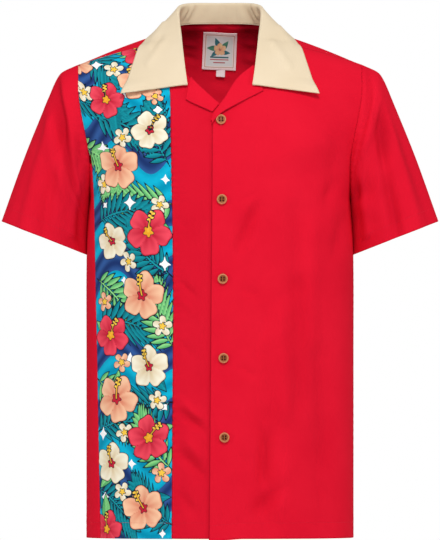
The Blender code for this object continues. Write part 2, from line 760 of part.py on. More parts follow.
def make_buttons(material):
    mesh = make_button_mesh()
    for number in range(BUTTON_COUNT):
        x = lerp(BUTTON_TOP_X, BUTTON_LOW_X, number / (BUTTON_COUNT - 1))
        z = BUTTON_TOP_Z - BUTTON_PITCH * number
        q, level = front_place(x, z)
        centre = body_point(False, 1.0, q, level, overlap_lift(x) + BUTTON_SEAT)
        normal = form_normal(False, q, level)
        button = new_object(f"button_{number + 1}", mesh, material)
        button.location = centre * MM
        button.rotation_euler = normal.to_track_quat("Z", "Y").to_euler()


def back_inside(x, z):
    """A point of the back's inner face, and the normal of its outer face."""
    low, high = 1.0, 2.0
    for _ in range(30):
        level = (low + high) / 2.0
        if form_point(True, share_at(True, x, level), level).z < z:
            low = level
        else:
            high = level
    q = share_at(True, x, level)
    return body_point(True, 1.0, q, level, -CLOTH_WALL), form_normal(True, q, level)


def make_label(name, middle_x, top_z, width, height, columns, rows, material):
    """A label lies on the inside of the back, a little off it."""
    tilt = Vector((math.cos(LABEL_TILT), math.sin(LABEL_TILT)))

    def place(i, j):
        right = lerp(-width / 2.0, width / 2.0, i / columns)
        down = height * (1.0 - j / rows)
        x = middle_x + right * tilt.x + down * tilt.y
        z = top_z + right * tilt.y - down * tilt.x
        point, normal = back_inside(x, z)
        return point - normal * (LABEL_REST + LABEL_WALL)

    cloth(name, columns, rows, place, LABEL_WALL, material, (0.0, -1.0, 0.0))


# The scene is emptied first, and the pieces get a collection of their own
for leftover in list(bpy.data.objects):
    bpy.data.objects.remove(leftover, do_unlink=True)
parts = bpy.data.collections.new(NAME)
tools = bpy.data.collections.new("tools")
for collection in (parts, tools):
    bpy.context.scene.collection.children.link(collection)

red_cotton = new_material("red_cotton", (0.76, 0.010, 0.028), 0.85)
print_cotton = new_material("print_cotton", (0.02, 0.36, 0.52), 0.85)
cream_cotton = new_material("cream_cotton", (0.86, 0.75, 0.56), 0.85)
coconut_shell = new_material("coconut_shell", (0.30, 0.12, 0.04), 0.45)
label_weave = new_material("label_weave", (0.82, 0.70, 0.70), 0.7)

make_body(red_cotton, print_cotton)
make_sleeve("sleeve_left", 1.0, red_cotton)
make_sleeve("sleeve_right", -1.0, red_cotton)
make_collar(make_form(), cream_cotton)
make_lapel("lapel_left", 1.0, LEFT_ROLL, LEFT_LAPEL, overlap_lift, red_cotton)
make_lapel("lapel_right", -1.0, RIGHT_ROLL, RIGHT_LAPEL, lambda x: 0.0, red_cotton)
make_buttons(coconut_shell)
make_label("neck_label", 0.5, LABEL_TOP_Z, LABEL_WIDTH, LABEL_HEIGHT, 6, 6, label_weave)
make_label("size_tag", TAG_X, LABEL_TOP_Z - LABEL_HEIGHT - SEAM_GAP, TAG_WIDTH, TAG_HEIGHT, 2, 2, label_weave)
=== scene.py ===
# %% [markdown]
# # A short-sleeved camp-collar shirt in red cotton
# The shirt is shown the way a shop shows it: filled out as if somebody wore it, with nobody inside.
# Its cloth could be simulated on a figure, but then every fold would move with each small change.
# Here each panel is a grid of points on one smooth form, and the folds are given one by one, so the
# shirt keeps the shape of the solids that it is packed with.

# %% Load the imported solids
import math

import bmesh
import bpy
import numpy as np
from mathutils import Matrix, Vector
from mathutils.bvhtree import BVHTree


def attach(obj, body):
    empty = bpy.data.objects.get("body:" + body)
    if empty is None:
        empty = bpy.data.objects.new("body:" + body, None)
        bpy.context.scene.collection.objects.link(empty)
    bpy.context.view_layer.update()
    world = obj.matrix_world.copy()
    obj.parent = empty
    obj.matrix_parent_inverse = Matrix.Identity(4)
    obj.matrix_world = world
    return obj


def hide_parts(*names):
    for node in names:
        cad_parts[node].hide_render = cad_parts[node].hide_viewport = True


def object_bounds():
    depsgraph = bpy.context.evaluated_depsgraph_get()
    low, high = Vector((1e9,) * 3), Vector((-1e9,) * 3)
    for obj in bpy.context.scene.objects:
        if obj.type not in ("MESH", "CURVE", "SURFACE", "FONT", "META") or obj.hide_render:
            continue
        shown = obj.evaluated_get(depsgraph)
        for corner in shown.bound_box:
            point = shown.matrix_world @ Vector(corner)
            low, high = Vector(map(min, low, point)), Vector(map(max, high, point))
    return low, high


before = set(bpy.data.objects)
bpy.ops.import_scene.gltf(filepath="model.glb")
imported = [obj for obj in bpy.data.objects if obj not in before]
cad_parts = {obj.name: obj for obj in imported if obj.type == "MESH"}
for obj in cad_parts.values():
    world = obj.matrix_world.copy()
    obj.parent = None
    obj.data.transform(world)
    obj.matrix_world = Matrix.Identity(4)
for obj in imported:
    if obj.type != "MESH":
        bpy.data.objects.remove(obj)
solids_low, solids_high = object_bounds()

MM = 0.001
print("solids:", len(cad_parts), "size in mm:", [round(x / MM) for x in solids_high - solids_low])

# %% [markdown]
# ## The form under the cloth
# A worn shirt is close to a rounded box that narrows to the shoulders. A maker drafts it from a few
# girths, and so does this script: each table row is one height or one turn round the armhole. The
# rows are those of the source of the solids, in millimetres, so both have the same form. Only the
# underside of the sleeve is 4 mm nearer, where soft cloth rests against the shirt's side.
# The level of a point runs from the hem, 0, past the underarm, 1, to the shoulder seam, 2, and its
# share from the middle, 0, to the side seam or armhole, 1.

# %% Tables of the body
HEM_Z, UNDERARM_Z, SIDE_SEAM_Y = -732.0, -225.0, 4.0
SQUARENESS = 2.4
SHOULDER_STRAIGHTNESS = 0.53
NECK_HALF_WIDTH = 74.0
BODY_ROWS = (  # z, half width, front y, back y
    (HEM_Z, 199, -141, 133), (-600, 199, -140, 131), (-450, 199, -140, 129), (-340, 199, -141, 129),
    (-270, 197.5, -141, 130.5), (UNDERARM_Z, 193.5, -139.5, 131),
)
FRONT_TOP_ROWS = (  # angle round the armhole, middle y, rise to the middle, turn at the armhole
    (0, -34, 48, 1), (30, -60, 43, 1), (60, -95, 35, 1.02), (90, -120, 24, 1.1),
    (120, -133.5, 13, 1.27), (135, -136.8, 8.5, 1.46), (150, -138.7, 5, 1.74), (165, -139.3, 2.2, 2.06),
    (180, -139.5, 0, SQUARENESS),
)
BACK_TOP_ROWS = (
    (0, -34, 48, 1), (8, 4, 66.5, 1), (16, 32, 70, 1), (28, 58, 72, 1), (45, 84, 64.5, 1),
    (65, 104, 49.5, 1.02), (90, 118, 31, 1.07), (120, 126.5, 16, 1.17), (135, 129, 10.5, 1.34),
    (150, 130.3, 6, 1.61), (165, 130.9, 2.7, 1.98), (180, 131, 0, SQUARENESS),
)
SLEEVE_ROWS = (  # along, top x and z, low x and z, front depth, back depth, middle y, curve
    (0, 211, -28, 193.5, UNDERARM_Z, 55, 62, 0, 1), (0.1, 235, -39, 194.5, -236, 60, 64, 1, 0.4),
    (0.16, 244, -51, 194.8, -243, 60.5, 63.5, 1.5, 0.1),
    (0.28, 256.5, -80, 195.6, -254, 59.5, 62, 3, 0), (0.62, 291, -165, 197, -284, 56, 58, 5, 0),
    (1, 325.5, -261, 197.7, -311, 54, 55, 6, 0),
)
COLLAR_ROWS = (  # along, foot, fold and edge as x, y, z, the roll's radius, and the rests of foot and fold
    (0, 0, 57.5, 33.5, 0, 62, 65, 0, 88, 8, 3.4, 0.5, 3.6),
    (1, 38, 51, 33, 36, 55, 65, 46, 82, 7, 3.4, 0.5, 3.6),
    (2, 58, 37, 31, 55, 33, 62.5, 85, 52, 8, 3.4, 0.5, 3.6),
    (3, 68, 20, 27, 61, 8, 55, 104, 8, 15, 3.4, 0.5, 3.6),
    (4, 73, -4, 20, 60, -16, 37, 117, -26, 1, 3, 0.6, 3.8),
    (5, 71.5, -34, 4, 57, -42, 14, 127.5, -55, -27, 2.6, 1.2, 5.2),
    (6, 63.5, -64, -17, 54, -68, -12, 137.5, -76, -50, 1.9, 3.4, 6.8),
    (7, 57.5, -88, -43, 51, -93, -38, 144, -88, -62, 1.6, 4.3, 7.5),
    (8, 55, -101, -61, 48, -106, -59, 148, -92, -71.5, 1.6, 4.3, 7.5),
)
BACK_NECK = ((0, 58), (20, 56.5), (40, 50.5), (56, 39), (67, 22), (72, 4), (74, -28))  # x, y
LEFT_ROLL = (  # x, z of the line on which the left lapel turns back
    (-11.5, -113), (-6, -100), (0.7, -91), (10, -78), (23.5, -56), (33, -45.5), (42.5, -38),
    (51.5, -30), (57, -22), (66, -8), (74, 9),
)
RIGHT_ROLL = (
    (-11.5, -104), (0.3, -90.7), (14.5, -78), (26, -67.5), (40, -54), (50, -41), (54, -30), (59, -20),
    (67, -7), (74, 9),
)
PRINT_SEAMS = (  # z, and how far the printed panel's two seams are from the middle
    (HEM_Z, 71.7, 177.3), (-584, 70.8, 180.4), (-466, 70, 182.5), (-378, 69.6, 184.6),
    (-240, 71, 187.2), (-200, 72, 189), (-175, 72.4, 190.9), (-161.5, 72.6, 193.2), (-145, 73, 205),
    (-110, 73.4, 240), (-66, 74.5, 240), (-20, 80, 240), (12, 84, 240),
)


# %% Read a table, and turn its rows into points
def lerp(a, b, t):
    """The value the share t of the way from a to b."""
    return a + (b - a) * t


def ease(t):
    """0 before 0, 1 after 1 and a soft step between."""
    t = np.clip(t, 0.0, 1.0)
    return t * t * (3.0 - 2.0 * t)


def read(table, key):
    """The columns of a table at each key, along smooth curves through its rows."""
    rows = np.array(table, float)
    key = np.clip(np.asarray(key, float), rows[0, 0], rows[-1, 0])
    low = np.maximum(np.arange(len(rows)) - 1, 0)
    high = np.minimum(np.arange(len(rows)) + 1, len(rows) - 1)
    slopes = (rows[high] - rows[low]) / (rows[high, :1] - rows[low, :1])
    i = np.clip(np.searchsorted(rows[:, 0], key, side="right") - 1, 0, len(rows) - 2)
    span = (rows[i + 1, 0] - rows[i, 0])[..., None]
    t = (key - rows[i, 0])[..., None] / span
    smooth = rows[i] + (rows[i + 1] - rows[i]) * t * t * (3.0 - 2.0 * t)
    smooth += (slopes[i] * t * (1.0 - t) ** 2 - slopes[i + 1] * t * t * (1.0 - t)) * span
    return np.moveaxis(smooth, -1, 0)


def ring_point(row, angle):
    """A point of an armhole or sleeve ring; past 180 degrees it lies on the back."""
    _, top_x, top_z, low_x, low_z, front_depth, back_depth, middle_y, curve = row
    turn = np.radians(angle)
    down = (1.0 - np.cos(turn)) / 2.0
    across = lerp(down, ease((down - 0.15) / 0.65), curve)
    depth = np.where(angle <= 180.0, -front_depth, -back_depth)
    y = middle_y + SIDE_SEAM_Y * down + depth * np.sin(turn)
    return np.stack([lerp(top_x, low_x, across), y, lerp(top_z, low_z, down)], -1)


def body_row(back, level):
    """The armhole or side end of the row at a level, its middle depth, its rise and its turn."""
    z, half_width, front_y, back_y = read(BODY_ROWS, lerp(HEM_Z, UNDERARM_Z, np.minimum(level, 1.0)))
    angle = 180.0 * (2.0 - np.maximum(level, 1.0))
    _, top_y, rise, turn = read(BACK_TOP_ROWS if back else FRONT_TOP_ROWS, angle)
    above = np.asarray(level) > 1.0
    side = np.stack([half_width, np.full_like(half_width, SIDE_SEAM_Y), z], -1)
    armhole = ring_point(read(SLEEVE_ROWS, np.zeros_like(angle)), 360.0 - angle if back else angle)
    end = np.where(above[..., None], armhole, side)
    middle_y = np.where(above, top_y, back_y if back else front_y)
    return end, middle_y, np.where(above, rise, 0.0), np.where(above, turn, SQUARENESS)


def form_point(back, q, level):
    """Points of the plain form at the shares q and the levels."""
    end, middle_y, rise, turn = body_row(back, level)
    lean = np.radians(90.0 * np.minimum(np.abs(q), 1.0))
    across = np.sin(lean) ** (2.0 / SQUARENESS)
    depth = np.maximum(np.cos(lean), 0.0) ** (2.0 / turn)
    fall = SHOULDER_STRAIGHTNESS * across + (1.0 - SHOULDER_STRAIGHTNESS) * across * across
    x = np.copysign(end[..., 0] * across, q)
    return np.stack([x, lerp(end[..., 1], middle_y, depth), end[..., 2] + rise * (1.0 - fall)], -1)


def share_at(back, x, level):
    """The share at which a row passes a distance x from the middle."""
    ratio = np.minimum(np.abs(x) / body_row(back, level)[0][..., 0], 1.0)
    return np.copysign(np.degrees(np.arcsin(ratio ** (SQUARENESS / 2.0))) / 90.0, x)


def seam_line(back, x_at):
    """An upright seam as a share for each level, from its distance at a height."""
    def share(level):
        q = np.full(np.shape(level), 0.8)
        for _ in range(3):
            z = form_point(back, q, level)[..., 2]
            q = share_at(back, x_at(z) + 0.0 * z, level)
        return np.minimum(q, 1.0)
    return share


check = form_point(False, np.array([0.0, 1.0]), np.array([0.0, 2.0]))
print("hem middle and shoulder point in mm:", check.round(1).tolist())

# %% [markdown]
# ## Panels from straight rows and a fan
# Up to the chest a panel's rows are level, like threads in the cloth. Above that each column runs
# on to its own end: the neckline, the roll line of the lapel or the shoulder seam. So the cut edges
# are true edges of the grid, as they are on a cut panel, with no stray corners to trim.

# %% Levels and shares of a panel's grid
FINE_ROWS = 13
BODY_LEVELS, SIDE_LEVELS, TOP_LEVELS = 12 * FINE_ROWS, 5 * FINE_ROWS // 2, 13 * FINE_ROWS // 2
ALL_ROWS = BODY_LEVELS + SIDE_LEVELS + TOP_LEVELS
FAN_START = 1.0 + 60.0 / 180.0


def row_level(row, end):
    """The level of each row; above the fan's start a column's rows share its own length."""
    straight = np.minimum(row / BODY_LEVELS, 1.0)
    sides = np.clip((row - BODY_LEVELS) / SIDE_LEVELS, 0.0, 1.0) * (FAN_START - 1.0)
    fan = np.clip((row - BODY_LEVELS - SIDE_LEVELS) / TOP_LEVELS, 0.0, 1.0) * (end - FAN_START)
    return straight + sides + fan


def share_between(start, end, part):
    """Shares part of the way between two, spaced evenly by width where the body is flat."""
    bend = SQUARENESS / 2.0
    low, high = (np.copysign(np.abs(q) ** (1.0 / bend), q) for q in (start, end))
    width = lerp(low, high, part)
    return np.copysign(np.abs(width) ** bend, width)


def panel_shares(zones, level):
    """The share of every column; a zone is an upright line and the columns before it."""
    shares = [zones[0][0](level[..., :1]) + 0.0 * level[..., :1]]
    start = 1
    for (before, _), (after, count) in zip(zones, zones[1:]):
        here = level[..., start:start + count]
        shares.append(share_between(before(here), after(here), np.arange(1, count + 1) / count))
        start += count
    return np.concatenate(shares, -1)


def column_ends(back, roll, zones):
    """The level at which each column ends: the neckline, or the shoulder seam past it."""
    columns = 1 + sum(count for _, count in zones)

    def inside(level):
        point = form_point(back, panel_shares(zones, level), level)
        width = np.abs(point[..., 0])
        if back:
            cut = point[..., 1] < read(BACK_NECK, width)[1]
        else:
            cut = point[..., 2] > read(roll, point[..., 0])[1]
        return cut & (width < NECK_HALF_WIDTH)

    low, high = np.ones(columns), np.full(columns, 2.0)
    open_end = inside(high)
    for _ in range(24):
        middle = (low + high) / 2.0
        within = inside(middle)
        high = np.where(within, middle, high)
        low = np.where(within, low, middle)
    return np.where(open_end, low, 2.0)


# %% [markdown]
# ## Folds
# Cotton that hangs from the shoulders falls in long soft troughs and ridges, pulls towards the
# buttons and puckers where a seam has drawn it in. A height over the form is enough for all of
# them: a Gaussian line for a fold, and small quick waves beside a seam for its puckers.

# %% Fold tables and their heights
FRONT_FOLDS = (  # top x, z, low x, z, width, height; x to the wearer's left
    (70, -470, 62, -760, 17, -4.5), (96, -430, 102, -760, 18, 4), (142, -330, 150, -760, 20, -3.5),
    (62, -225, 20, -322, 13, -2), (-128, -300, -120, -760, 24, -3), (-40, -500, -44, -760, 15, 2.5),
    (176, -120, 160, -240, 12, -3), (-176, -120, -160, -240, 12, -3),
)
BACK_FOLDS = (
    (92, -190, 78, -760, 24, -6), (-88, -200, -80, -760, 24, -5.5), (34, -300, 30, -760, 22, 5),
    (-30, -280, -34, -760, 22, 4.5), (140, -260, 146, -760, 20, 4), (-142, -260, -148, -760, 20, 4),
    (150, -70, 120, -190, 14, -3), (-150, -70, -120, -190, 14, -3),
)
SLEEVE_FOLDS = (  # start angle, along, end angle, along, width, height
    (62, 0.02, 92, 1.1, 9, -5), (40, 0.05, 60, 1.1, 9, 4), (118, 0.05, 128, 0.9, 9, 3.5),
    (296, 0.05, 270, 1.1, 10, -4.5), (322, 0.05, 305, 1.1, 10, 4),
)
FRONT_CREASES = (  # smaller ones that only the cloth has
    (62, -222, 20, -322, 9, -1.6), (54, -214, 30, -262, 8, 1.2), (78, -400, 68, -560, 11.5, 1.6),
    (70, -560, 64, -668, 9, -2.4), (106, -640, 40, -706, 10.5, -2), (96, -600, 84, -720, 10.5, 1.6),
    (20, -238, 62, -216, 5, -0.9), (24, -356, 70, -380, 6, -0.9), (22, -470, 66, -500, 6.5, -1),
    (24, -590, 52, -640, 6.5, -1), (112, -215, 116, -390, 14.5, -1.6), (92, -370, 92, -580, 13, 2.2),
    (120, -330, 119, -560, 14.5, -1.8), (138, -240, 134, -470, 13, 1.4), (50, -176, 182, -134, 26, 1.9),
    (150, -430, 160, -640, 13, -1.6), (176, -190, 150, -250, 8, -1.6),
    (188, -235, 168, -330, 10.5, -1.5), (-68, -340, -26, -384, 5, -1.3), (-68, -366, -34, -402, 5, 1.2),
    (-70, -430, -30, -470, 6.5, -0.9), (-68, -520, -12, -566, 6.5, 1.7), (-68, -536, -12, -584, 7, -2),
    (-70, -590, -12, -654, 8.5, -2.2), (-62, -572, -14, -626, 8, 1.5), (-66, -655, -28, -708, 8, -1.6),
    (-70, -250, -40, -280, 5, -0.9), (-100, -420, -92, -590, 13, 1.6),
    (-150, -260, -146, -470, 15.5, -1.6), (-112, -600, -130, -720, 11.5, -1.6),
)
BACK_CREASES = (
    (60, -240, 30, -330, 10.5, -1.5), (-54, -260, -22, -350, 10.5, -1.5), (-20, -60, 24, -74, 8, -1),
    (110, -420, 120, -640, 13, -2), (-112, -400, -104, -620, 13, -2), (8, -450, -6, -690, 13, -1.8),
    (178, -190, 150, -262, 9, -1.6), (-178, -190, -150, -262, 9, -1.6), (60, -600, 88, -716, 11.5, 1.6),
    (-52, -620, -72, -716, 11.5, 1.6), (-66, 8, -27, 0, 5, -3.6), (-66, -12, -27, -22, 5, 3.6),
    (27, 24, 66, 19, 4.5, 3.4), (27, 8, 66, 1, 5, -4), (27, -12, 66, -26, 6, -3.4),
    (-24, -49, 24, -56, 6, 1.4), (166, -330, 172, -560, 11.5, -1.4),
    (-168, -350, -174, -580, 11.5, -1.4),
)
LEFT_SLEEVE_CREASES = (
    (50, 0.16, 74, 0.52, 13, -3.4), (22, 0.02, 120, 0.12, 32, -1.6), (104, 0.02, 76, 0.24, 15, 1.8),
    (148, 0.03, 106, 0.56, 14, -2.2), (140, 0.2, 100, 0.8, 12, 1.6), (80, 0.4, 88, 1.2, 9, -1.8),
    (34, 0.3, 36, 1.3, 11, -1.5), (250, 0.03, 236, 0.8, 9, -2.2), (216, 0.03, 222, 0.7, 8, -1.6),
)
RIGHT_SLEEVE_CREASES = (
    (18, 0.1, 136, 0.44, 30, -3.4), (24, 0.24, 118, 0.64, 26, 2), (96, 0.02, 118, 0.3, 13, -1.4),
    (128, 0.34, 152, 1.1, 12, -1.4), (58, 0.5, 72, 1.3, 10, 1.4), (258, 0.03, 240, 0.9, 9, -2.2),
    (224, 0.03, 214, 0.7, 8, -1.6),
)
FOLD_END, CREASE_END, CREASE_DEPTH = 60.0, 40.0, 3.0
CREASE_FADE, SLEEVE_CREASE_DEPTH = 0.5, 2.3


def fold_height(folds, x, z, end=FOLD_END):
    """The sum of the folds: each is a soft line that fades at its two ends."""
    height = np.zeros_like(x)
    for top_x, top_z, low_x, low_z, width, rise in folds:
        length = math.hypot(low_x - top_x, low_z - top_z)
        run_x, run_z = (low_x - top_x) / length, (low_z - top_z) / length
        along = (x - top_x) * run_x + (z - top_z) * run_z
        aside = (x - top_x) * run_z - (z - top_z) * run_x
        fade = ease(along / end) * ease((length - along) / end)
        height += rise * fade * np.exp(-(aside / width) ** 2)
    return height


def sleeve_fold(folds, angle, along, fade=0.12):
    """Folds of a sleeve run from the armhole to the cuff and fade at the seam and at their end."""
    height = np.zeros(np.broadcast(angle, along).shape)
    for start_angle, start, end_angle, end, width, rise in folds:
        t = (along - start) / (end - start)
        middle = lerp(start_angle, end_angle, np.clip(t, 0.0, 1.0))
        height += rise * ease(t / 0.3) * ease((1.0 - t) / fade) * np.exp(-((angle - middle) / width) ** 2)
    return height


# %% [markdown]
# ## From points to cloth
# A piece of cloth starts as a flat grid, one face for each mesh of the weave that can be afforded.
# Its corners are moved to their places, and its UV map keeps the flat pattern in millimetres, so
# that threads and prints follow the cloth. Solidify gives it the wall, always inwards.

# %% Lay a grid of points as cloth
CLOTH_WALL, JOIN_GAP = 0.5, 0.02
shirt_pieces = bpy.data.collections.new("cloth")
bpy.context.scene.collection.children.link(shirt_pieces)


def unit_normals(points, outward):
    """Normals of a grid of points, turned so that the middle one looks along outward."""
    along_rows = np.gradient(points, axis=0)
    along_columns = np.gradient(points, axis=1)
    normal = np.cross(along_columns, along_rows)
    normal /= np.maximum(np.linalg.norm(normal, axis=-1, keepdims=True), 1e-9)
    middle = normal[normal.shape[0] // 2, normal.shape[1] // 2]
    return normal if middle @ np.array(outward, float) > 0.0 else -normal


def flat_pattern(points):
    """The cloth laid flat: millimetres along each row and up each column."""
    across = np.linalg.norm(np.diff(points, axis=1), axis=-1)
    up = np.linalg.norm(np.diff(points, axis=0), axis=-1)
    u = np.concatenate([np.zeros((len(points), 1)), np.cumsum(across, 1)], 1)
    v = np.concatenate([np.zeros((1, points.shape[1])), np.cumsum(up, 0)], 0)
    return np.stack([u, v], -1)


def add_piece(name, mesh, finish):
    """The finished mesh as one smooth piece of the shirt."""
    mesh.shade_smooth()
    mesh.materials.append(finish)
    piece = bpy.data.objects.new(name, mesh)
    shirt_pieces.objects.link(piece)
    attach(piece, "root")
    return piece


def lay_cloth(name, points, outward, pattern, finish, wall, marks=(), closed=False):
    """A piece of cloth from a grid of points in mm; marks are named numbers kept for its finish."""
    rows, columns = points.shape[:2]
    sheet = bmesh.new()
    bmesh.ops.create_grid(sheet, x_segments=columns - 1, y_segments=rows - 1, size=0.5)
    mesh = bpy.data.meshes.new(name)
    sheet.to_mesh(mesh)
    sheet.free()
    flat = np.empty(len(mesh.vertices) * 3, np.float32)
    mesh.vertices.foreach_get("co", flat)
    flat = flat.reshape(-1, 3)
    i = np.rint((flat[:, 0] + 0.5) * (columns - 1)).astype(int)
    j = np.rint((flat[:, 1] + 0.5) * (rows - 1)).astype(int)
    mesh.vertices.foreach_set("co", (points[j, i] * MM).astype(np.float32).ravel())
    row, column = rows // 2, columns // 2
    middle = points[row, column]
    turned = np.cross(points[row, column + 1] - middle, points[row + 1, column] - middle)
    if turned @ np.array(outward, float) < 0.0:
        mesh.flip_normals()
    corner = np.empty(len(mesh.loops), np.int32)
    mesh.loops.foreach_get("vertex_index", corner)
    uv_map = mesh.uv_layers.new(name="pattern")
    uv_map.data.foreach_set("uv", pattern[j, i][corner].astype(np.float32).ravel())
    for mark, values in dict(marks).items():
        kept = mesh.attributes.new(mark, "FLOAT", "POINT")
        kept.data.foreach_set("value", values[j, i].astype(np.float32))
    if closed:
        joined = bmesh.new()
        joined.from_mesh(mesh)
        bmesh.ops.remove_doubles(joined, verts=joined.verts, dist=JOIN_GAP * MM)
        joined.to_mesh(mesh)
        joined.free()
    piece = add_piece(name, mesh, finish)
    thickness = piece.modifiers.new("wall", "SOLIDIFY")
    thickness.thickness = wall * MM
    thickness.offset = -1.0
    print(name, "grid", rows, "by", columns)
    return piece


# %% [markdown]
# ## Dyed cotton poplin
# Poplin is a plain weave with fine warp and slightly thicker weft, so it looks smooth, with a faint
# crosswise rib. The fibres scatter light, so it is rough, with a weak specular and a little sheen
# at the edges. The real threads are 0.2 mm apart, too fine to show, so they are drawn at 0.8 mm.
# Heights go to one Bump node in millimetres. The groove beside a line of stitches and the rounded
# edge at a seam come from marks that each piece carries, as distances in millimetres; both marks
# also make the cloth a little darker, as painted shade. Two more marks give painted shade where a
# place keeps out light: the hollow of a fold, and the back's inner side beside the neck. They could
# be left to the lamps, but soft lamps in front fill every fold.

# %% Colours and nodes
def ink(hex_colour):
    """An sRGB hex colour as the linear values that a shader takes."""
    parts = [int(hex_colour[k:k + 2], 16) / 255.0 for k in (1, 3, 5)]
    return tuple(c / 12.92 if c <= 0.04045 else ((c + 0.055) / 1.055) ** 2.4 for c in parts) + (1.0,)


def add(tree, kind, links=None, out=None, **settings):
    """Adds a node; each link is a socket's name with a number, colour or output. Returns an output."""
    node = tree.nodes.new("ShaderNode" + kind)
    for name, value in settings.items():
        setattr(node, name, value)
    for socket, value in (links or {}).items():
        if isinstance(value, bpy.types.NodeSocket):
            tree.links.new(value, node.inputs[socket])
        else:
            node.inputs[socket].default_value = value
    return node.outputs[out] if out else next(output for output in node.outputs if output.enabled)


THREAD_PITCH = 0.8
WAVE_PERIOD = math.pi / 10.0  # a Wave Texture of scale 1 repeats after this distance
GROOVE_WIDTH, ROLL_WIDTH = 2.2, 1.8  # how far a line of stitches and a seam's edge draw the cloth down
THREAD_HEIGHT, SLUB_HEIGHT, GROOVE_HEIGHT, ROLL_HEIGHT = 0.03, 0.10, -0.07, -0.22
GROOVE_SHADE, SEAM_SHADE, HOLLOW_SHADE = 0.12, 0.42, 0.34  # shares of the painted shade colours at their fullest


def surface(name, roughness, ior, specular):
    """A new material with its tree and its shader, whose plain values are set."""
    material = bpy.data.materials.new(name)
    material.use_nodes = True
    shader = material.node_tree.nodes["Principled BSDF"]
    shader.inputs["Roughness"].default_value = roughness
    shader.inputs["IOR"].default_value = ior
    shader.inputs["Specular IOR Level"].default_value = specular
    return material, material.node_tree, shader


def woven(name, roughness, sheen, sheen_tint, rumple):
    """A cotton surface with all but its colour; returns its tree, shader, UVs, groove and edge."""
    material, tree, shader = surface(name, roughness, 1.5, 0.03)
    shader.inputs["Sheen Weight"].default_value = sheen
    shader.inputs["Sheen Tint"].default_value = ink(sheen_tint)
    shader.inputs["Sheen Roughness"].default_value = 0.5
    flat = add(tree, "UVMap", uv_map="pattern")
    warp, weft = (add(tree, "TexWave", {"Vector": flat, "Scale": WAVE_PERIOD / THREAD_PITCH}, "Fac",
                      wave_type="BANDS", bands_direction=direction) for direction in "XY")
    threads = add(tree, "Math", {0: warp, 1: weft}, operation="MAXIMUM")
    stretched = add(tree, "Mapping", {"Vector": flat, "Scale": (0.02, 0.5, 1.0)})
    slub = add(tree, "TexNoise", {"Vector": stretched, "Scale": 1.0, "Detail": 3.0})
    crumple = add(tree, "TexNoise", {"Vector": flat, "Scale": 0.035, "Detail": 5.0, "Roughness": 0.55})
    stitch = add(tree, "Attribute", out="Fac", attribute_name="stitch")
    off_line = add(tree, "Math", {0: stitch}, operation="ABSOLUTE")
    seam = add(tree, "Attribute", out="Fac", attribute_name="seam")
    groove, roll = (add(tree, "MapRange", {"Value": off, "From Max": width, "To Min": 1.0, "To Max": 0.0},
                        interpolation_type="SMOOTHSTEP")
                    for off, width in ((off_line, GROOVE_WIDTH), (seam, ROLL_WIDTH)))
    height = 0.0
    for source, depth in ((threads, THREAD_HEIGHT), (slub, SLUB_HEIGHT), (crumple, rumple),
                          (groove, GROOVE_HEIGHT), (roll, ROLL_HEIGHT)):
        height = add(tree, "Math", {0: source, 1: depth, 2: height}, operation="MULTIPLY_ADD")
    bump = add(tree, "Bump", {"Height": height, "Strength": 1.0, "Distance": MM})
    tree.links.new(bump, shader.inputs["Normal"])
    return material, tree, shader, flat, groove, roll


def dyed(name, colour, patch_and_groove_shade_colour, seam_shade_colour, hollow_shade_colour, rumple=1.2):
    """Piece-dyed cotton, matt and even, a little darker in patches, with painted shade in grooves, at seams,
    in hollows and inside the neck.
    """
    material, tree, shader, flat, groove, roll = woven(name, 0.85, 0.07, colour, rumple)
    patch = add(tree, "TexNoise", {"Vector": flat, "Scale": 0.012, "Detail": 2.0})
    # painted shade: the groove beside a line of stitches is drawn darker, added to the dye's real patches
    patch_and_groove_shade = add(tree, "Math", {0: groove, 1: GROOVE_SHADE, 2: patch}, operation="MULTIPLY_ADD")
    # painted shade: the rounded edge of a seam is drawn darker
    seam_shade = add(tree, "Math", {0: roll, 1: SEAM_SHADE}, operation="MULTIPLY")
    # painted shade by the neck: only on the side whose normal faces the front, the back's inner side
    facing = add(tree, "SeparateXYZ", {"Vector": add(tree, "TexCoord", out="Normal")}, "Y")
    inner_side = add(tree, "Math", {0: facing, 1: 0.0}, operation="LESS_THAN")
    neck = add(tree, "Attribute", out="Fac", attribute_name="painted_neck_shade")
    neck = add(tree, "Math", {0: neck, 1: inner_side}, operation="MULTIPLY")
    # painted shade in the hollows of folds and on the collar's stand, with the painted shade by the neck
    hollow = add(tree, "Attribute", out="Fac", attribute_name="hollow")
    unlit = add(tree, "Math", {0: hollow, 1: HOLLOW_SHADE, 2: neck}, operation="MULTIPLY_ADD")
    tint = ink(colour)
    for amount, under in ((patch_and_groove_shade, patch_and_groove_shade_colour), (seam_shade, seam_shade_colour), (unlit, hollow_shade_colour)):
        tint = add(tree, "Mix", {"Factor": amount, "A": tint, "B": ink(under)}, data_type="RGBA")
    tree.links.new(tint, shader.inputs["Base Color"])
    return material


# after the base colour: a darker tone for the dye's patches and the painted groove shade, then the painted
# shade of seam edges, then the painted shade of hollows, the inner neck and the collar's stand
red_cotton = dyed("red_dyed_poplin", "#E61A33", "#D6102A", "#7E0014", "#7E0014")
cream_cotton = dyed("cream_dyed_poplin", "#EBDABF", "#DFCBAA", "#E0CCA8", "#A88454", rumple=0.8)
print("poplins:", red_cotton.name, cream_cotton.name)

# %% [markdown]
# ## A tropical print
# The long panel is rotary printed cotton: flat inks, each inside a dark key line, on turquoise. The
# motifs are common ones, hibiscus, plumeria, palm and sparkles on waves. A picture file could hold
# them, but formulas stay sharp. Each ink is kept on the panel's points as the distance to its edge,
# which a straight mix between two points keeps true, so an edge is crisp on a grid of 1.5 mm.

